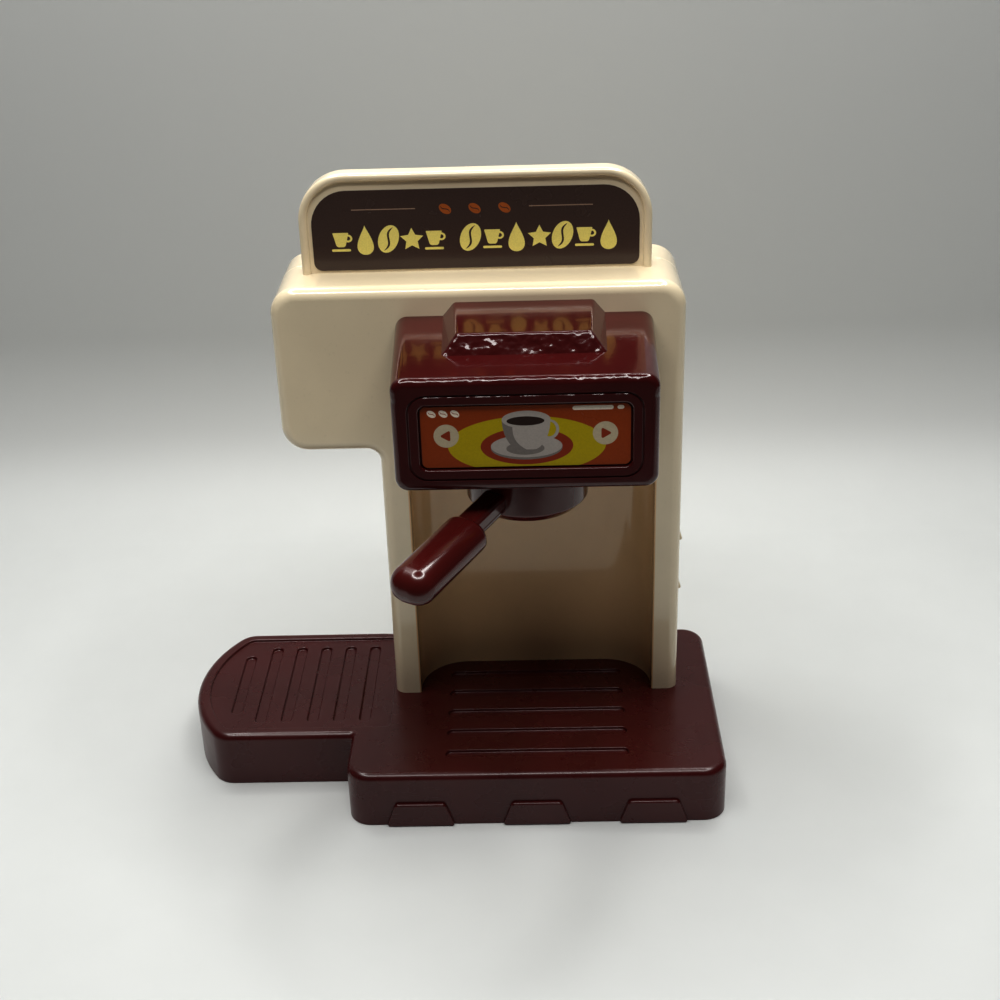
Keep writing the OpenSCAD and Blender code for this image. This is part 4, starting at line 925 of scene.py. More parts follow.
@dataclass
class RearFittings:
    """Battery door, power knob, speaker grille and screw wells in the column's back.

    The battery case and the door's plate are given by their half width, foot and top, and the door's
    screw well by its distance from that top, its radius and its depth.
    """

    x: float = 1.5
    back: float = 65.5
    case: Triple = (22.8, 57.95, 113.85)
    case_floor: float = 47.6
    case_wall: float = 1.4
    plate: Triple = (25.4, 55.35, 125.75)
    plate_t: float = 2.0
    plate_gap: float = 0.05
    fit: float = 0.15
    finger_z: float = 8.6
    finger_pitch: float = 2.4
    finger_len: float = 20.0
    finger_w: float = 1.2
    finger_depth: float = 0.5
    door_screw: Triple = (5.0, 2.8, 1.45)
    knob_x: float = 39.5
    knob_z: float = 88.0
    knob_w: float = 4.6
    knob_h: float = 7.2
    knob_travel: float = 3.0
    knob_proud: float = 0.4
    knob_room: float = 7.3
    cap_depth: float = 1.6
    ridge_pitch: float = 1.8
    ridge_w: float = 0.7
    ridge_depth: float = 0.35
    stem_y: float = 58.3
    stem_half: tuple[float, float] = (1.4, 2.0)
    well_side: float = 5.2
    well_corner: float = 7.0
    well_top: float = 18.5
    well_under: float = 8.0
    well_foot: float = 18.0
    speaker_x: float = -69.6
    speaker_z: float = 153.6
    grille_r: float = 12.0
    grille_pitch: float = 3.4
    grille_w: float = 1.6
    grille_depth: float = 2.9

    @property
    def seat_y(self) -> float:
        """Level of the ledge that the door lies on."""
        return self.back - self.plate_t - self.plate_gap

    def area(self, sizes: Triple, grow: float, radius: float) -> Outline:
        """The battery case or the door's plate, grown on all sides."""
        half, foot, top = sizes
        return Outline.rect((self.x - half - grow, foot - grow), (self.x + half + grow, top + grow), radius)

    def knob_slot(self) -> Outline:
        """Slot that the knob slides in."""
        half = (self.knob_w / 2 + self.fit, (self.knob_h + self.knob_travel) / 2 + self.fit)
        return Outline.box((self.knob_x, self.knob_z), half, 0.5)

    def grille(self) -> list[Outline]:
        """Seven slots that fill a circle: length 2 sqrt(r^2 - z^2)."""
        rows = np.arange(-3, 4) * self.grille_pitch
        return [Outline.slot((self.speaker_x, self.speaker_z + z), length, self.grille_w)
                for z, length in zip(rows, 2 * np.sqrt(self.grille_r ** 2 - rows ** 2))]

    def screw_places(self, body: Body) -> list[tuple[float, float]]:
        """Middles of the seven screw wells, seen from the front.

        Args:
            body: the column.

        Returns:
            Places along X and Z.
        """
        side, corner = self.well_side, self.well_corner
        right, left = body.x1 - side, body.x0 + side
        upper, low = body.top - self.well_top, body.foot + self.well_foot
        under = body.arm_z - self.well_under
        return [(body.arm_x + side, upper), (body.arm_x + corner, body.arm_z + corner),
                (right, upper), (right, under), (left, under), (right, low), (left, low)]

    def door(self) -> None:
        """Battery door: a plate with five finger grooves and a sunken screw."""
        shell, back = Shell(), self.back
        (_, foot, top), (gap, radius, depth) = self.plate, self.door_screw
        rows = foot + self.finger_z + np.arange(-2, 3) * self.finger_pitch
        fingers = [Outline.slot((self.x, z), self.finger_len, self.finger_w) for z in rows]
        floor = back - self.finger_depth
        holes = [shell.pocket(FRONT, finger, back, floor, 0.2, 0.15) for finger in fingers]
        well = Outline.circle((self.x, top - gap), radius)
        holes.append(shell.pocket(FRONT, well, back, back - depth, 0.25, 0.1))
        shell.slab(FRONT, self.area(self.plate, 0.0, 0.7), back - self.plate_t, back, 0.45, holes)
        place_piece("battery_door_plate", shell, [CREAM], "battery_door", "battery_door")

    def knob(self) -> None:
        """Power knob: a rounded cap with three grip ridges on a square stem."""
        shell, back = Shell(), self.back
        x, z, top = self.knob_x, self.knob_z - self.knob_travel / 2, self.back + self.knob_proud
        ridges = [Outline.slot((x, z + i * self.ridge_pitch), self.knob_w - 2 * self.ridge_w, self.ridge_w)
                  for i in (-1, 0, 1)]
        holes = [shell.pocket(FRONT, ridge, top, top - self.ridge_depth, 0.15, 0.1) for ridge in ridges]
        cap = Outline.box((x, z), (self.knob_w / 2, self.knob_h / 2), 0.6)
        shell.slab(FRONT, cap, back - self.cap_depth, top, 0.35, holes)
        shell.slab(FRONT, Outline.box((x, z), self.stem_half, 0.3), self.stem_y, back - 1.2, 0.1)
        place_piece("power_knob", shell, [BLACK], "power_switch_knob", "power_switch")


# ---------------------------------------------------------------- sign

class Art:
    """Printed label: loops of ink laid one over another and cut into one flat mesh."""

    def __init__(self, outline: Outline, ground: Ink) -> None:
        """Starts with the ground."""
        self.outline = outline
        self.layers: list[tuple[np.ndarray, Ink]] = [(outline.points, ground)]

    def ink(self, loop: np.ndarray, ink: Ink) -> None:
        """Lays one loop over what is there."""
        self.layers.append((loop, ink))

    def press(self, name: str, node: str, body: str, back: float, front: float) -> None:
        """Cuts the layers into triangles; each takes the ink of the last loop round its middle.

        Args:
            name: of the piece and of its material slot.
            node: the frame's node that it stands for.
            body: body that it rides on.
            back: level of its back face.
            front: level of its printed face.
        """
        points, triangles = fill([loop for loop, _ in self.layers], edges_only=True)
        middles = points[triangles].mean(axis=1)
        inks = list(Ink)
        marks = np.zeros(len(triangles), np.int32)
        within = inside(middles, self.layers[0][0])
        for loop, ink in self.layers:
            marks[inside(middles, loop)] = inks.index(ink)
        shell, rim = Shell(), inks.index(self.layers[0][1])
        shell.add(FRONT.lift(points, front), triangles[within], marks[within])
        shell.sweep(FRONT, self.outline, [(0, front), (0, back)], rim)
        shell.face(FRONT, back, self.outline.points, finish=rim)
        place_piece(name, shell, [ink.value for ink in inks], node, body)


def oval(middle: Floats, half: Floats, tilt: float = 0.0, steps: int = 48) -> np.ndarray:
    """Ellipse: middle + (a cos t, b sin t), turned by tilt degrees."""
    flat = heading(np.linspace(0, 2 * math.pi, steps, endpoint=False)) * half
    return tilted(flat, tilt) + middle


def bean(art: Art, middle: Floats, size: float, tilt: float, ink: Ink, slit: Ink) -> None:
    """Coffee bean: an oval, and a slit along it that swings as 0.16 sin(pi t).

    The slit's half width is 0.075 sqrt(1.02 - t^2), with t from -1 to 1, in shares of the size.

    Args:
        art: label that it is printed on.
        middle: its middle.
        size: half its length.
        tilt: degrees that it is turned to the left.
        ink: its ink.
        slit: the slit's ink.
    """
    art.ink(oval(middle, (size, size * 0.68), tilt, 28), ink)
    t = np.linspace(-1, 1, 13)
    swing, half = 0.16 * np.sin(math.pi * t), 0.075 * np.sqrt(1.02 - t ** 2)
    loop = ribbon(columns(0.86 * t, swing - half), columns(0.86 * t, swing + half))
    art.ink(tilted(loop * size, tilt) + middle, slit)


def drop(middle: Floats, size: float) -> np.ndarray:
    """Drop: x = 0.78 s sin t |sin(t / 2)|^1.6, y = s cos t, widest below its middle."""
    t = np.linspace(0, 2 * math.pi, 36, endpoint=False)
    return columns(0.78 * size * np.sin(t) * np.abs(np.sin(t / 2)) ** 1.6, size * np.cos(t)) + middle


def star(middle: Floats, size: float) -> np.ndarray:
    """Five-pointed star: radius s and 0.5 s in turn, every 36 degrees from the top."""
    radius = np.where(np.arange(10) % 2 == 0, size, size * 0.5)
    return radius[:, None] * heading(QUARTER + np.arange(10) * math.pi / 5) + middle


def mug(art: Art, middle: Floats, size: float, ink: Ink, ground: Ink) -> None:
    """Small mug on a plate: a ring for its handle, a tapered bowl, and a bar below, in shares of the size.

    Args:
        art: label that it is printed on.
        middle: its middle.
        size: half its height.
        ink: its ink.
        ground: ink seen through the handle.
    """
    ear = np.add(middle, (0.62 * size, 0.12 * size))
    art.ink(oval(ear, (0.36 * size, 0.34 * size), steps=24), ink)
    art.ink(oval(ear, (0.18 * size, 0.17 * size), steps=20), ground)
    foot, top, high = 0.36 * size, 0.68 * size, 0.62 * size
    bowl = Outline.corners([(-foot, -high), (foot, -high), (top, high), (-top, high)],
                           [0.24 * size, 0.24 * size, 0.06 * size, 0.06 * size], 5)
    art.ink(bowl.points + middle, ink)
    plate = Outline.rect((-0.8 * size, -size), (0.8 * size, -0.78 * size), 0.1 * size, 4)
    art.ink(plate.points + middle, ink)


@dataclass
class Sign:
    """Cream arch on the body's top with a rounded rim, and its dark printed label."""

    left: float = -78.2
    right: float = 45.4
    foot: float = 188.3
    top: float = 224.3
    front: float = 37.2
    back: float = 44.9
    panel: float = 38.8
    corner_r: float = 17.0
    rim_r: float = 1.5
    rim_step: tuple[float, float] = (0.08, 0.05)
    back_r: float = 1.5
    label_side: float = 4.4
    label_top: float = 6.2
    label_foot: float = 189.5
    label_foot_r: float = 3.0
    label_t: float = 0.3

    def board(self) -> None:
        """Board: an open arch whose profile is a half-round rim, a flat panel and a rounded back."""
        shell, rim = Shell(), 2 * self.rim_r
        outline = Outline.corners([(self.right, self.foot), (self.right, self.top), (self.left, self.top),
                                   (self.left, self.foot)], self.corner_r, 20, closed=False)
        a = np.linspace(0, math.pi, 15)
        bead = columns(self.rim_r * (1 - np.cos(a)), self.front + self.rim_r * (1 - np.sin(a)))
        step_in, step_up = self.rim_step
        foot = [(rim, self.panel - step_up), (rim + step_in, self.panel)]
        profile = np.concatenate([round_over(self.back_r, self.back, 1, 6)[::-1], bead, foot])
        shell.sweep(FRONT, outline, profile)
        shell.face(FRONT, self.panel, outline.at(profile[-1, 0]))
        shell.face(FRONT, self.back, outline.at(self.back_r))
        shell.face(PLAN, self.foot, cut_ends(profile, self.right, self.left))
        place_piece("sign_arch", shell, [CREAM], "sign_board")

    def label(self) -> None:
        """Label: three beans between two fine lines, over a row of cups, drops, beans and stars."""
        side, r, foot_r = self.label_side, self.corner_r - self.label_side, self.label_foot_r
        low, high = (self.left + side, self.label_foot), (self.right - side, self.top - self.label_top)
        art = Art(Outline.rect(low, high, [foot_r, r, r, foot_r], 10), Ink.BROWN)
        for x in (-26.7, -16.4, -6.0):
            bean(art, (x, 210.9), 2.35, -35.0, Ink.COPPER, Ink.BROWN)
        for start, end in ((-59.4, -37.1), (2.5, 24.7)):
            art.ink(Outline.rect((start, 211.1), (end, 211.45), 0.1, 2).points, Ink.LINE)
        motifs: dict[str, Callable[[float], None]] = {
            "mug": lambda x: mug(art, (x - 0.4, 200.6), 4.2, Ink.YELLOW, Ink.BROWN),
            "bean": lambda x: bean(art, (x, 200.6), 5.2, 68.0, Ink.YELLOW, Ink.BROWN),
            "drop": lambda x: art.ink(drop((x, 200.4), 5.4), Ink.YELLOW),
            "star": lambda x: art.ink(star((x, 200.2), 4.3), Ink.YELLOW),
        }
        for words, start, end in (("mug drop bean star mug", -63.4, -30.6),
                                  ("bean mug drop star bean mug drop", -18.2, 30.2)):
            names = words.split()
            for name, x in zip(names, np.linspace(start, end, len(names))):
                motifs[name](float(x))
        art.press("sign_print", "sign_label", "root", self.panel, self.panel - self.label_t)


# ---------------------------------------------------------------- head

@dataclass
class Head:
    """Burgundy brewing head: a hollow tapered cover with a step on top and a display window."""

    back_half: float = 45.0
    front_half: float = 43.1
    back_y: float = 20.8
    front_y: float = -33.0
    bottom: float = 136.4
    top: float = 178.1
    fall: float = 2.0
    corner_r: float = 4.5
    edge_r: float = 2.5
    wall: float = 2.2
    ring_hole_r: float = 15.06
    lip_r: float = 0.3
    window_half_w: float = 34.5
    window_half_h: float = 11.4
    window_z: float = 155.6
    window_r: float = 2.6
    window_rim: float = 0.6
    line_gap: float = 3.7
    line_w: float = 0.6
    line_bevel: float = 0.12
    crest_top: float = 182.9
    crest_h: float = 4.8
    crest_half: float = 22.1
    crest_back_half: float = 24.2
    crest_spread: float = 4.0
    crest_front: float = -10.0
    crest_slope: float = 3.2
    crest_edge: float = 0.8
    crest_sunk: float = 1.45
    crest_sunk_back: float = 1.8

    def window(self, grow: float) -> Outline:
        """The window seen from the front, grown on all sides."""
        half = (self.window_half_w + grow, self.window_half_h + grow)
        return Outline.box((0.0, self.window_z), half, self.window_r + max(grow, 0.0), 8)

    def section(self, y: float, drawn_in: float = 0.0) -> Outline:
        """Cross-section at a distance y: half width and top change evenly from the column to the front.

        Args:
            y: distance.
            drawn_in: how far it is drawn in all round.

        Returns:
            The outline, from the right end of its flat bottom to the left end.
        """
        along = (self.back_y - y) / (self.back_y - self.front_y)
        half = self.back_half + (self.front_half - self.back_half) * along - drawn_in
        low, high = (half, self.bottom + drawn_in), (half, self.top - self.fall * along - drawn_in)
        return Outline.block(low, high, max(self.corner_r - drawn_in, 1.0), 8)

    def crest_outline(self, below: float) -> Outline:
        """The step in plan, its sides sloping out evenly.

        Args:
            below: share of its height that the plan lies below its top.

        Returns:
            The outline.
        """
        front, back = np.add((self.crest_half, self.crest_back_half), self.crest_spread * below)
        y, back_y = self.crest_front - self.crest_slope * below, self.back_y + self.crest_sunk_back
        return Outline.corners([(-front, y), (front, y), (back, back_y), (-back, back_y)],
                               [1.6, 1.6, 1.5, 1.5])

    def cover(self) -> None:
        """Cover: outer form, inner room, ring hole, window tunnel, ring line and the step."""
        shell, window, ring = Shell(), self.window(0), Outline.circle((0, 0), self.ring_hole_r, 96)
        y, inner_y, room_z = self.front_y, self.front_y + self.wall, self.bottom + self.wall
        edge = round_over(self.edge_r, y, -1, 8)
        outer = [(self.section(at).points, at) for at in (self.back_y, edge[0, 1])]
        room = [(self.section(at, self.wall).points, at) for at in (self.back_y, inner_y)]
        shell.stack(FRONT, [(self.section(at).at(inset), at) for inset, at in edge])
        for walls, level, hole in ((outer, self.bottom, ring.at(-self.lip_r)), (room, room_z, ring.points)):
            shell.stack(FRONT, walls, closed=False)
            corners = [[(flat[i, 0], at) for i in (0, -1)] for flat, at in walls]
            shell.face(PLAN, level, np.array(corners[0] + corners[1][::-1]), [hole])
        shell.sweep(PLAN, ring, [*round_in(self.lip_r, self.bottom, -1), (0, room_z)])
        line, w, bevel = self.window(self.line_gap), self.line_w, self.line_bevel
        near = [(-bevel, y), (0.0, y + 0.1), (0.04, y + w)]
        shell.sweep(FRONT, line, [*near, *((w - inset, level) for inset, level in near[::-1])])
        shell.face(FRONT, y, self.section(y).at(self.edge_r), [line.at(-bevel)])
        shell.face(FRONT, y, line.at(w + bevel), [window.at(-self.window_rim)])
        shell.sweep(FRONT, window, [*round_in(self.window_rim, y, -1), (0, inner_y)])
        shell.face(FRONT, inner_y, room[1][0], [window.points])
        shell.face(FRONT, self.back_y, outer[0][0], [room[0][0]])
        self.crest(shell)
        place_piece("head_shell", shell, [HEAD_RED], "head_cover")

    def crest(self, shell: Shell) -> None:
        """Step: walls from inside the cover up to its edge, a rounded edge and a flat top.

        The edge is a curve between a point a little down the wall, the corner itself and a point a
        little in on the top: (1 - t)^2 * wall + t^2 * top, which is a parabola's arc.

        Args:
            shell: the cover's.
        """
        t = np.linspace(0, 1, 7)
        share = self.crest_edge / self.crest_h
        rows = [(self.crest_sunk, 0.0), *zip(share * (1 - t) ** 2, self.crest_edge * t ** 2)]
        lines = [(self.crest_outline(below).at(inset), self.crest_top - self.crest_h * below)
                 for below, inset in rows]
        shell.stack(PLAN, lines)
        for flat, level in (lines[0], lines[-1]):
            shell.face(PLAN, level, flat)


@dataclass
class Display:
    """Press-in plate of the window with its printed label."""

    head: Head
    face_y: float = -31.6
    back_y: float = -29.1
    flange_t: float = 1.6
    flange_rim: float = 1.8
    fit: float = 0.15
    edge_r: float = 0.4
    label_gap: float = 0.65
    label_t: float = 0.3
    cup_x: float = 0.2
    cup_foot: float = 2.6
    cup_mouth: float = 7.8
    cup_z: tuple[float, float] = (150.8, 161.4)

    def plate(self) -> None:
        """Plate: a rounded front on a wider flange that holds it behind the window."""
        shell, outline = Shell(), self.head.window(0)
        step = self.back_y - self.flange_t
        flange = [(-self.flange_rim, self.back_y), (-self.flange_rim, step), (self.fit, step)]
        front = round_over(self.edge_r, self.face_y, -1, 5) + [self.fit, 0.0]
        shell.sweep(FRONT, outline, [*flange, *front])
        shell.face(FRONT, self.back_y, outline.at(-self.flange_rim))
        shell.face(FRONT, self.face_y, outline.at(self.fit + self.edge_r))
        place_piece("display_plate", shell, [BURGUNDY_PAINTED_LIT], "display_button", "display")

    def label(self) -> None:
        """Label: a cup on its saucer before two ovals, a round arrow key on each side and small marks."""
        half = np.subtract((self.head.window_half_w, self.head.window_half_h), self.label_gap)
        art = Art(Outline.box((0.0, self.head.window_z), half, 1.95, 8), Ink.ORANGE)
        glow = oval((0.3, 152.4), (25.6, 10.2), steps=96)
        glow[:, 1] = np.maximum(glow[:, 1], self.head.window_z - half[1] + 0.02)
        art.ink(glow, Ink.GOLD)
        art.ink(oval((0.3, 152.0), (15.0, 6.5), steps=64), Ink.RUST)
        self.cup(art)
        for side in (-1, 1):
            key = (25.7 * side, 156.1)
            art.ink(oval(key, (4.1, 4.1), steps=40), Ink.SOFT)
            arrow = np.array([(2.2, 0.0), (-1.3, 2.1), (-1.3, -2.1)]) * (side, 1) + key
            art.ink(Outline.corners(arrow[::side], 0.45, 4).points, Ink.RUST)
        for x, length, width in ((21.7, 13.2, 1.5), (30.6, 2.2, 1.4)):
            art.ink(Outline.slot((x, 165.1), length, width).points, Ink.BRIGHT)
        for x in (-30.2, -26.4, -22.6):
            bean(art, (x, 163.9), 1.6, -35.0, Ink.BRIGHT, Ink.ORANGE)
        art.press("display_print", "display_label", "display", self.face_y, self.face_y - self.label_t)

    def ovals(self, art: Art, *rows: tuple[float, float, float, float, int, Ink]) -> None:
        """Lays ovals: place beside the cup's middle, height, half width, half height, steps and ink."""
        for x, z, half_w, half_h, steps, ink in rows:
            art.ink(oval((self.cup_x + x, z), (half_w, half_h), steps=steps), ink)

    def cup(self, art: Art) -> None:
        """Cup and saucer: ovals for the saucer, its well and the handle, the bowl, the mouth and the coffee.

        The bowl's half width at a height s of 0 to 1 is foot + (mouth - foot) * (1 - (1 - s)^2)^0.6, and
        its shaded side ends 4.5 * (1 - (1 - s)^4) to the left of its middle.

        Args:
            art: the display's label.
        """
        foot_z, mouth_z = self.cup_z
        s = np.linspace(0, 1, 19) ** 1.5
        half = self.cup_foot + (self.cup_mouth - self.cup_foot) * (1 - (1 - s) ** 2) ** 0.6
        right, left, shaded = (columns(self.cup_x + reach, foot_z + (mouth_z - foot_z) * s)
                               for reach in (half, -half, -4.5 * (1 - (1 - s) ** 4)))
        self.ovals(art, (0.0, 151.4, 11.6, 4.2, 56, Ink.GREY), (0.0, 152.0, 11.6, 4.0, 56, Ink.WHITE),
                   (-0.4, 151.2, 6.2, 2.3, 40, Ink.GREY), (7.7, 157.8, 2.9, 3.4, 36, Ink.WHITE),
                   (7.5, 157.9, 2.1, 2.6, 32, Ink.GOLD))
        art.ink(ribbon(right, left), Ink.WHITE)
        art.ink(ribbon(left, shaded), Ink.GREY)
        self.ovals(art, (0.0, mouth_z, 7.85, 3.1, 48, Ink.WHITE),
                   (-0.2, mouth_z - 0.5, 6.1, 1.6, 40, Ink.COFFEE))


# ---------------------------------------------------------------- portafilter

@dataclass
class Portafilter:
    """Burgundy bowl with its bayonet spigot, the neck and the two-part grip."""

    bowl_r: float = 21.3
    bottom: float = 117.4
    top: float = 135.6
    bevel: float = 3.0
    wall: float = 2.0
    moat_z: float = 121.4
    bore_z: float = 119.8
    spigot_r: float = 11.9
    bore_r: float = 10.1
    spigot_top: float = 140.9
    lug_w: float = 6.0
    lug_reach: float = 13.2
    lug_z: float = 135.0
    rib_z: tuple[float, float] = (121.0, 135.4)
    overlap: float = 0.4
    turn: float = 32.0
    droop: float = 8.0
    line_z: float = 126.0
    grip_start: float = 37.4
    grip_len: float = 38.6
    grip_w: float = 16.4
    grip_h: float = 13.5
    shoulder_r: float = 2.6
    neck_w: float = 8.8
    neck_h: float = 7.2
    neck_rise: float = 1.9
    neck_seam: float = 0.6
    neck_gap: float = 0.03
    neck_step: float = 0.25
    neck_root: float = 2.4
    neck_end: float = 3.0
    seam_z: float = -2.5
    seam_r: float = 0.35
    set_in: float = 0.25
    cut_share: float = 0.80
    sheet_share: float = 0.83
    sheet_end: float = 1.56
    screw_x: tuple[float, ...] = (47.4, 65.5)
    sink_r: float = 2.8
    sink_depth: float = 1.72
    sink_gap: float = 0.3

    def turned(self) -> Matrix:
        """Turn about Z from a handle drawn along +X to its direction at rest."""
        return Matrix.Rotation(math.radians(270 - self.turn), 4, "Z")

    def handle_matrix(self) -> np.ndarray:
        """From a handle drawn along +X to its place: droop about Y, then turn about Z, then up."""
        droop = Matrix.Rotation(math.radians(self.droop), 4, "Y")
        return np.array(Matrix.Translation((0, 0, self.line_z)) @ self.turned() @ droop)

    def bowl(self) -> None:
        """Bowl: a turned disc with a moat round its spigot, two lugs and ribs, and the two-part neck."""
        shell, r, spigot, bore = Shell(), self.bowl_r, self.spigot_r, self.bore_r
        inner = r - self.wall
        profile = [(0.0, self.bottom), (r - self.bevel, self.bottom), (r, self.bottom + self.bevel),
                   (r, self.top), (inner, self.top), (inner, self.moat_z), (spigot, self.moat_z),
                   (spigot, self.spigot_top), (bore, self.spigot_top), (bore, self.bore_z),
                   (0.0, self.bore_z)]
        radii = [0.9, 1.4, 0.7, 0.5, 0.8, 0.8, 0.4, 0.4, 1.0]
        shell.lathe(Outline.corners(profile, radii, 5, closed=False).points)
        lugs, near, half = len(shell.points), spigot - self.overlap, self.lug_w / 2
        lug, rib = (self.lug_reach, self.lug_z, self.spigot_top), (inner + self.overlap, *self.rib_z)
        for side in (-1, 1):
            for far, low, high in (lug, rib):
                x0, x1 = sorted((side * near, side * far))
                shell.slab(PLAN, Outline.rect((x0, -half), (x1, half), 0.3, 4), low, high, 0.3)
        shell.turn(np.array(self.turned()), lugs)
        neck, w, under = len(shell.points), self.neck_w / 2, self.neck_w / 2 - self.neck_step
        low, high = self.neck_rise - self.neck_h / 2, self.neck_rise + self.neck_h / 2
        above, below = self.neck_seam + self.neck_gap, self.neck_seam - self.neck_gap
        for half_neck in (Outline.block((w, above), (w, high), [0.35, 2.0, 2.0, 0.35], 8),
                          Outline.block((under, low), (under, below), [1.4, 0.35, 0.35, 1.4], 8)):
            shell.slab(SIDE, half_neck, r - self.neck_root, self.grip_start + self.neck_end, 0.05)
        shell.turn(self.handle_matrix(), neck)
        place_piece("bowl_and_neck", shell, [BURGUNDY_PAINTED_LIT], "portafilter_bowl",
                    "portafilter")

    def rod(self, drawn_in: float) -> tuple[float, float, float, float, float]:
        """The grip drawn in: its radius, its shoulder's, half its flat width, its straight part's ends."""
        r, s = self.grip_h / 2 - drawn_in, self.shoulder_r - drawn_in
        return (r, s, (self.grip_w - self.grip_h) / 2, self.grip_start + drawn_in + s,
                self.grip_start + self.grip_len - self.grip_h / 2)

    def slice_line(self, z: float, drawn_in: float) -> np.ndarray:
        """Outline of the grip cut level at height z, the grip being drawn in all round.

        On the right half, the shoulder is a quarter ring of tube radius s, where the radius is
        R = ring + s cos p and x = near - s sin p, and the half width is spread + sqrt(R^2 - z^2).
        The end is a ball, cut in a circle of radius sqrt(r^2 - z^2). The left half mirrors it.

        Args:
            z: height of the cut above the handle's line.
            drawn_in: how far the whole form is drawn in.

        Returns:
            Points in the handle's own X and Y, (n, 2).
        """
        r, s, spread, near, far = self.rod(drawn_in)
        ring, z = r - s, min(abs(z), r)
        limit = QUARTER if z <= ring else math.acos(min((z - ring) / s, 1.0))
        p = limit * (1 - np.linspace(0, 1, 12) ** 2)
        shoulder = columns(near - s * np.sin(p),
                           spread + np.sqrt(np.maximum((ring + s * np.cos(p)) ** 2 - z ** 2, 0)))
        ball = math.sqrt(max(r ** 2 - z ** 2, 0)) * heading(QUARTER - np.linspace(0, QUARTER, 18))
        right = np.concatenate([shoulder, ball + (far, spread)])
        return ribbon(right, right * (1, -1))

    def half_grip(self, side: int, drawn_in: float, last: float) -> tuple[Shell, np.ndarray]:
        """Level cuts of one half of the grip, from its seam to the angle last, over a flat seam face.

        Args:
            side: +1 for the upper half, -1 for the lower.
            drawn_in: how far the half is drawn in.
            last: angle of the last cut above the handle's line.

        Returns:
            The shell, and the last cut's outline.
        """
        r, shell = self.grip_h / 2 - drawn_in, Shell()
        first = math.asin((self.seam_z + side * self.seam_r) / r)
        rows = [(drawn_in + inset, z) for inset, z in round_over(self.seam_r, self.seam_z, -side, 4)[::-1]]
        rows += [(drawn_in, r * math.sin(t)) for t in np.linspace(first, last, 22)[1:]]
        lines = [(self.slice_line(z, inset), z) for inset, z in rows]
        shell.stack(PLAN, lines)
        shell.face(PLAN, lines[0][1], lines[0][0])
        return shell, lines[-1][0]

    def upper_grip(self) -> None:
        """Upper grip half, closed by a flat strip along its crown."""
        shell, loop = self.half_grip(1, 0.0, QUARTER)
        crown, half = self.grip_h / 2, len(loop) // 2
        shell.stack(PLAN, [(loop[:half], crown), (loop[half:][::-1], crown)], closed=False)
        shell.turn(self.handle_matrix())
        place_piece("grip_upper", shell, [BURGUNDY_PAINTED_LIT], "handle_upper_shell",
                    "portafilter", 50.0)

    def lower_grip(self) -> None:
        """Lower grip half, set in a little, with two screw wells in its rounded underside.

        Level cuts reach down to cut_share of its radius. Below them the underside is a sheet over points
        of further cuts, from sheet_share of the radius to the angle sheet_end, that keep off the wells.
        """
        shell, rim = self.half_grip(-1, self.set_in, -math.asin(self.cut_share))
        r, floor = self.grip_h / 2 - self.set_in, self.sink_depth - self.grip_h / 2
        angles = np.linspace(math.asin(self.sheet_share), self.sheet_end, 9)
        free = np.concatenate([self.slice_line(-r * math.sin(t), self.set_in) for t in angles])
        gap = np.min([np.linalg.norm(free - (x, 0), axis=1) for x in self.screw_x], axis=0)
        free = np.unique(free[gap > self.sink_r + self.sink_gap].round(3), axis=0)
        wells = [Outline.circle((x, 0), self.sink_r, 28).points for x in self.screw_x]
        points, triangles = fill([rim, *wells], free=free)
        shell.add(PLAN.lift(points, self.underside(points)), triangles)
        for well in wells:
            shell.stack(PLAN, [(well, self.underside(well)), (well, floor)])
            shell.face(PLAN, floor, well)
        shell.turn(self.handle_matrix())
        place_piece("grip_lower", shell, [BURGUNDY_PAINTED_LIT], "handle_lower_shell",
                    "portafilter", 50.0)

    def underside(self, flat: np.ndarray) -> np.ndarray:
        """Height of the lower half's underside: -sqrt(R^2 - (|y| - spread)^2).

        R is the radius of the rod at x: r along its straight part, r - s + sqrt(s^2 - out^2) on the
        shoulder and sqrt(r^2 - out^2) on the ball, where out is how far x lies past that part.

        Args:
            flat: points in the handle's own X and Y, (n, 2).

        Returns:
            A height for each.
        """
        r, s, spread, near, far = self.rod(self.set_in)
        out_near = np.clip(near - flat[:, 0], 0, s)
        out_far = np.clip(flat[:, 0] - far, 0, r)
        shoulder, ball = r - s + np.sqrt(s ** 2 - out_near ** 2), np.sqrt(r ** 2 - out_far ** 2)
        radius = np.where(out_near > 0, shoulder, ball)
        aside = np.maximum(np.abs(flat[:, 1]) - spread, 0)
        return -np.sqrt(np.maximum(radius ** 2 - aside ** 2, 0))


# ---------------------------------------------------------------- studio

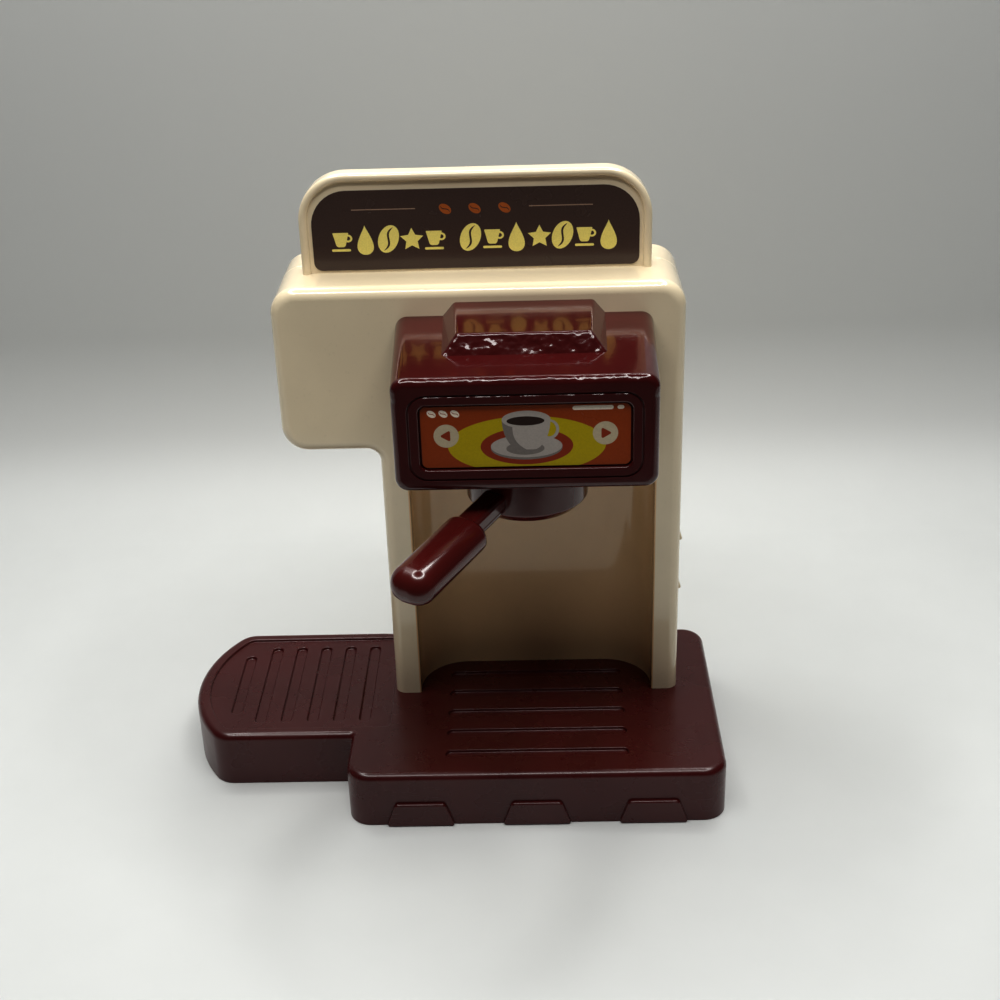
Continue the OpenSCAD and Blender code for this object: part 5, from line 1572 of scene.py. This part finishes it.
@dataclass
class Studio:
    """Pale floor that sweeps up into a grey wall and darkens to the front, a round lamp and the camera.

    Seen from behind, the wall lets the view through.
    """

    floor_front: float = -650.0
    wall_y: float = 270.0
    sweep_r: float = 80.0
    half_w: float = 650.0
    wall_top: float = 700.0
    floor_shades: tuple[Triple, Triple] = ((0.67, 0.68, 0.67), (0.70, 0.71, 0.70))
    near_shade: Triple = (0.11, 0.107, 0.104)
    wall_shade: Triple = (0.545, 0.55, 0.54)
    camera_at: Triple = (2.677, -484.19, 361.09)
    yaw: float = -1.476
    pitch: float = 26.79
    roll: float = -1.828
    lens: float = 55.37
    lamp_at: Triple = (-25.0, 0.0, 760.0)
    lamp_r: float = 310.0
    lamp_w: float = 80.0
    lamp_count: int = 16
    lamp_power: float = 9.0
    lamp_tint: Triple = (1.0, 1.0, 0.985)
    room_light: Triple = (0.62, 0.63, 0.64)

    def put(self, name: str, data: bpy.types.ID, x: np.ndarray, z: np.ndarray,
            at: Floats) -> bpy.types.Object:
        """Puts up a lamp or a camera.

        Args:
            name: of the object.
            data: the lamp or the camera.
            x: direction of its own X.
            z: direction of its own Z, against which it looks.
            at: its place in millimetres.

        Returns:
            The object.
        """
        matrix = np.eye(4)
        matrix[:3] = columns(x, np.cross(z, x), z, np.array(at) * MM)
        holder = bpy.data.objects.new(name, data)
        holder.matrix_world = Matrix(matrix.tolist())
        bpy.context.scene.collection.objects.link(holder)
        return holder

    def backdrop(self) -> None:
        """Floor, quarter-round sweep and wall as one sheet."""
        bend = Outline.arc((self.wall_y - self.sweep_r, self.sweep_r), self.sweep_r, -90, 0, 16).points
        line = np.array([(self.floor_front, 0.0), *bend, (self.wall_y, self.wall_top)])
        shell, x = Shell(), np.linspace(-self.half_w, self.half_w, 5)
        shell.grid(columns(x, line[:, :1], line[:, 1:]), closed=False)
        mesh = bpy.data.meshes.new("backdrop")
        mesh.from_pydata((shell.points[0] * MM).tolist(), [], shell.faces)
        mesh.polygons.foreach_set("use_smooth", np.ones(len(mesh.polygons), bool))
        sheet = bpy.data.objects.new("backdrop", mesh)
        bpy.context.scene.collection.objects.link(sheet)
        tree = Tree("backdrop")
        floor = tree.blend(tree.noise(40.0, 3.0), *(shade(tone, 1.0) for tone in self.floor_shades))
        floor = tree.blend(tree.along("Y").smooth(-0.30, -0.21), shade(self.near_shade, 1.0), floor)
        tint = tree.blend(tree.along("Z").smooth(0.0, 0.035), floor, shade(self.wall_shade, 1.0))
        behind = tree.node("ShaderNodeNewGeometry", out="Backfacing")
        mesh.materials.append(tree.surface(Base_Color=tint, Roughness=0.55, Alpha=1.0 - behind))

    def lamp(self) -> None:
        """Round ceiling lamp: short area lights in a circle that all look at the floor under its middle."""
        reach = 2 * self.lamp_r * math.tan(math.pi / self.lamp_count)
        for i in range(self.lamp_count):
            a = 2 * math.pi * i / self.lamp_count
            arm = np.array([self.lamp_r * math.cos(a), self.lamp_r * math.sin(a), 0.0])
            light = bpy.data.lights.new(f"ring_lamp_{i}", "AREA")
            light.energy, light.color = self.lamp_power / self.lamp_count, self.lamp_tint
            light.shape, light.size, light.size_y = "RECTANGLE", reach * MM, self.lamp_w * MM
            z = unit(arm + (0.0, 0.0, self.lamp_at[2]))
            self.put(light.name, light, unit(np.cross((0.0, 0.0, 1.0), z)), z, arm + self.lamp_at)

    def camera(self) -> None:
        """Camera from its place, yaw, pitch and roll."""
        yaw, pitch, roll = np.radians([self.yaw, self.pitch, self.roll])
        level = np.array([math.cos(yaw), -math.sin(yaw), 0.0])
        ahead = math.cos(pitch) * np.array([math.sin(yaw), math.cos(yaw), 0.0]) - (0.0, 0.0, math.sin(pitch))
        right = math.cos(roll) * level + math.sin(roll) * np.cross(level, ahead)
        lens = bpy.data.cameras.new("camera")
        lens.lens, lens.sensor_width, lens.sensor_fit = self.lens, 36.0, "HORIZONTAL"
        lens.clip_start, lens.clip_end = 0.01, 20.0
        bpy.context.scene.camera = self.put("camera", lens, right, -ahead, self.camera_at)

    def build(self) -> None:
        """Sets up the studio."""
        self.camera()
        self.backdrop()
        self.lamp()
        scene, world = bpy.context.scene, bpy.data.worlds.new("room")
        world.use_nodes = True
        room = world.node_tree.nodes["Background"].inputs
        room["Color"].default_value, room["Strength"].default_value = shade(self.room_light, 1.0), 0.06
        scene.world = world
        scene.view_settings.view_transform = "Standard"
        scene.view_settings.gamma = 0.76


# ---------------------------------------------------------------- whole

def dress_frame() -> None:
    """Gives every node of the frame the finish of its material slot."""
    slots = {part["node"]: part["material_slot"] for part in frame["record"]["subparts"]}
    for name, node in frame["nodes"].items():
        node.data.materials.clear()
        node.data.materials.append(made(SLOT_FINISH[slots[name]]))
    log.info("dressed %d nodes of the frame", len(frame["nodes"]))


def main() -> None:
    """Builds the coffee maker and its studio."""
    logging.basicConfig(level=logging.INFO, format="%(message)s")
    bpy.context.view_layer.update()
    Studio().build()
    dress_frame()
    Base().build()
    body, fittings = Body(), RearFittings()
    body.front_housing()
    body.rear_housing(fittings)
    fittings.door()
    fittings.knob()
    sign, head, portafilter = Sign(), Head(), Portafilter()
    display = Display(head)
    for build in (sign.board, sign.label, head.cover, display.plate, display.label,
                  portafilter.bowl, portafilter.upper_grip, portafilter.lower_grip):
        build()


if __name__ == "__main__":
    main()
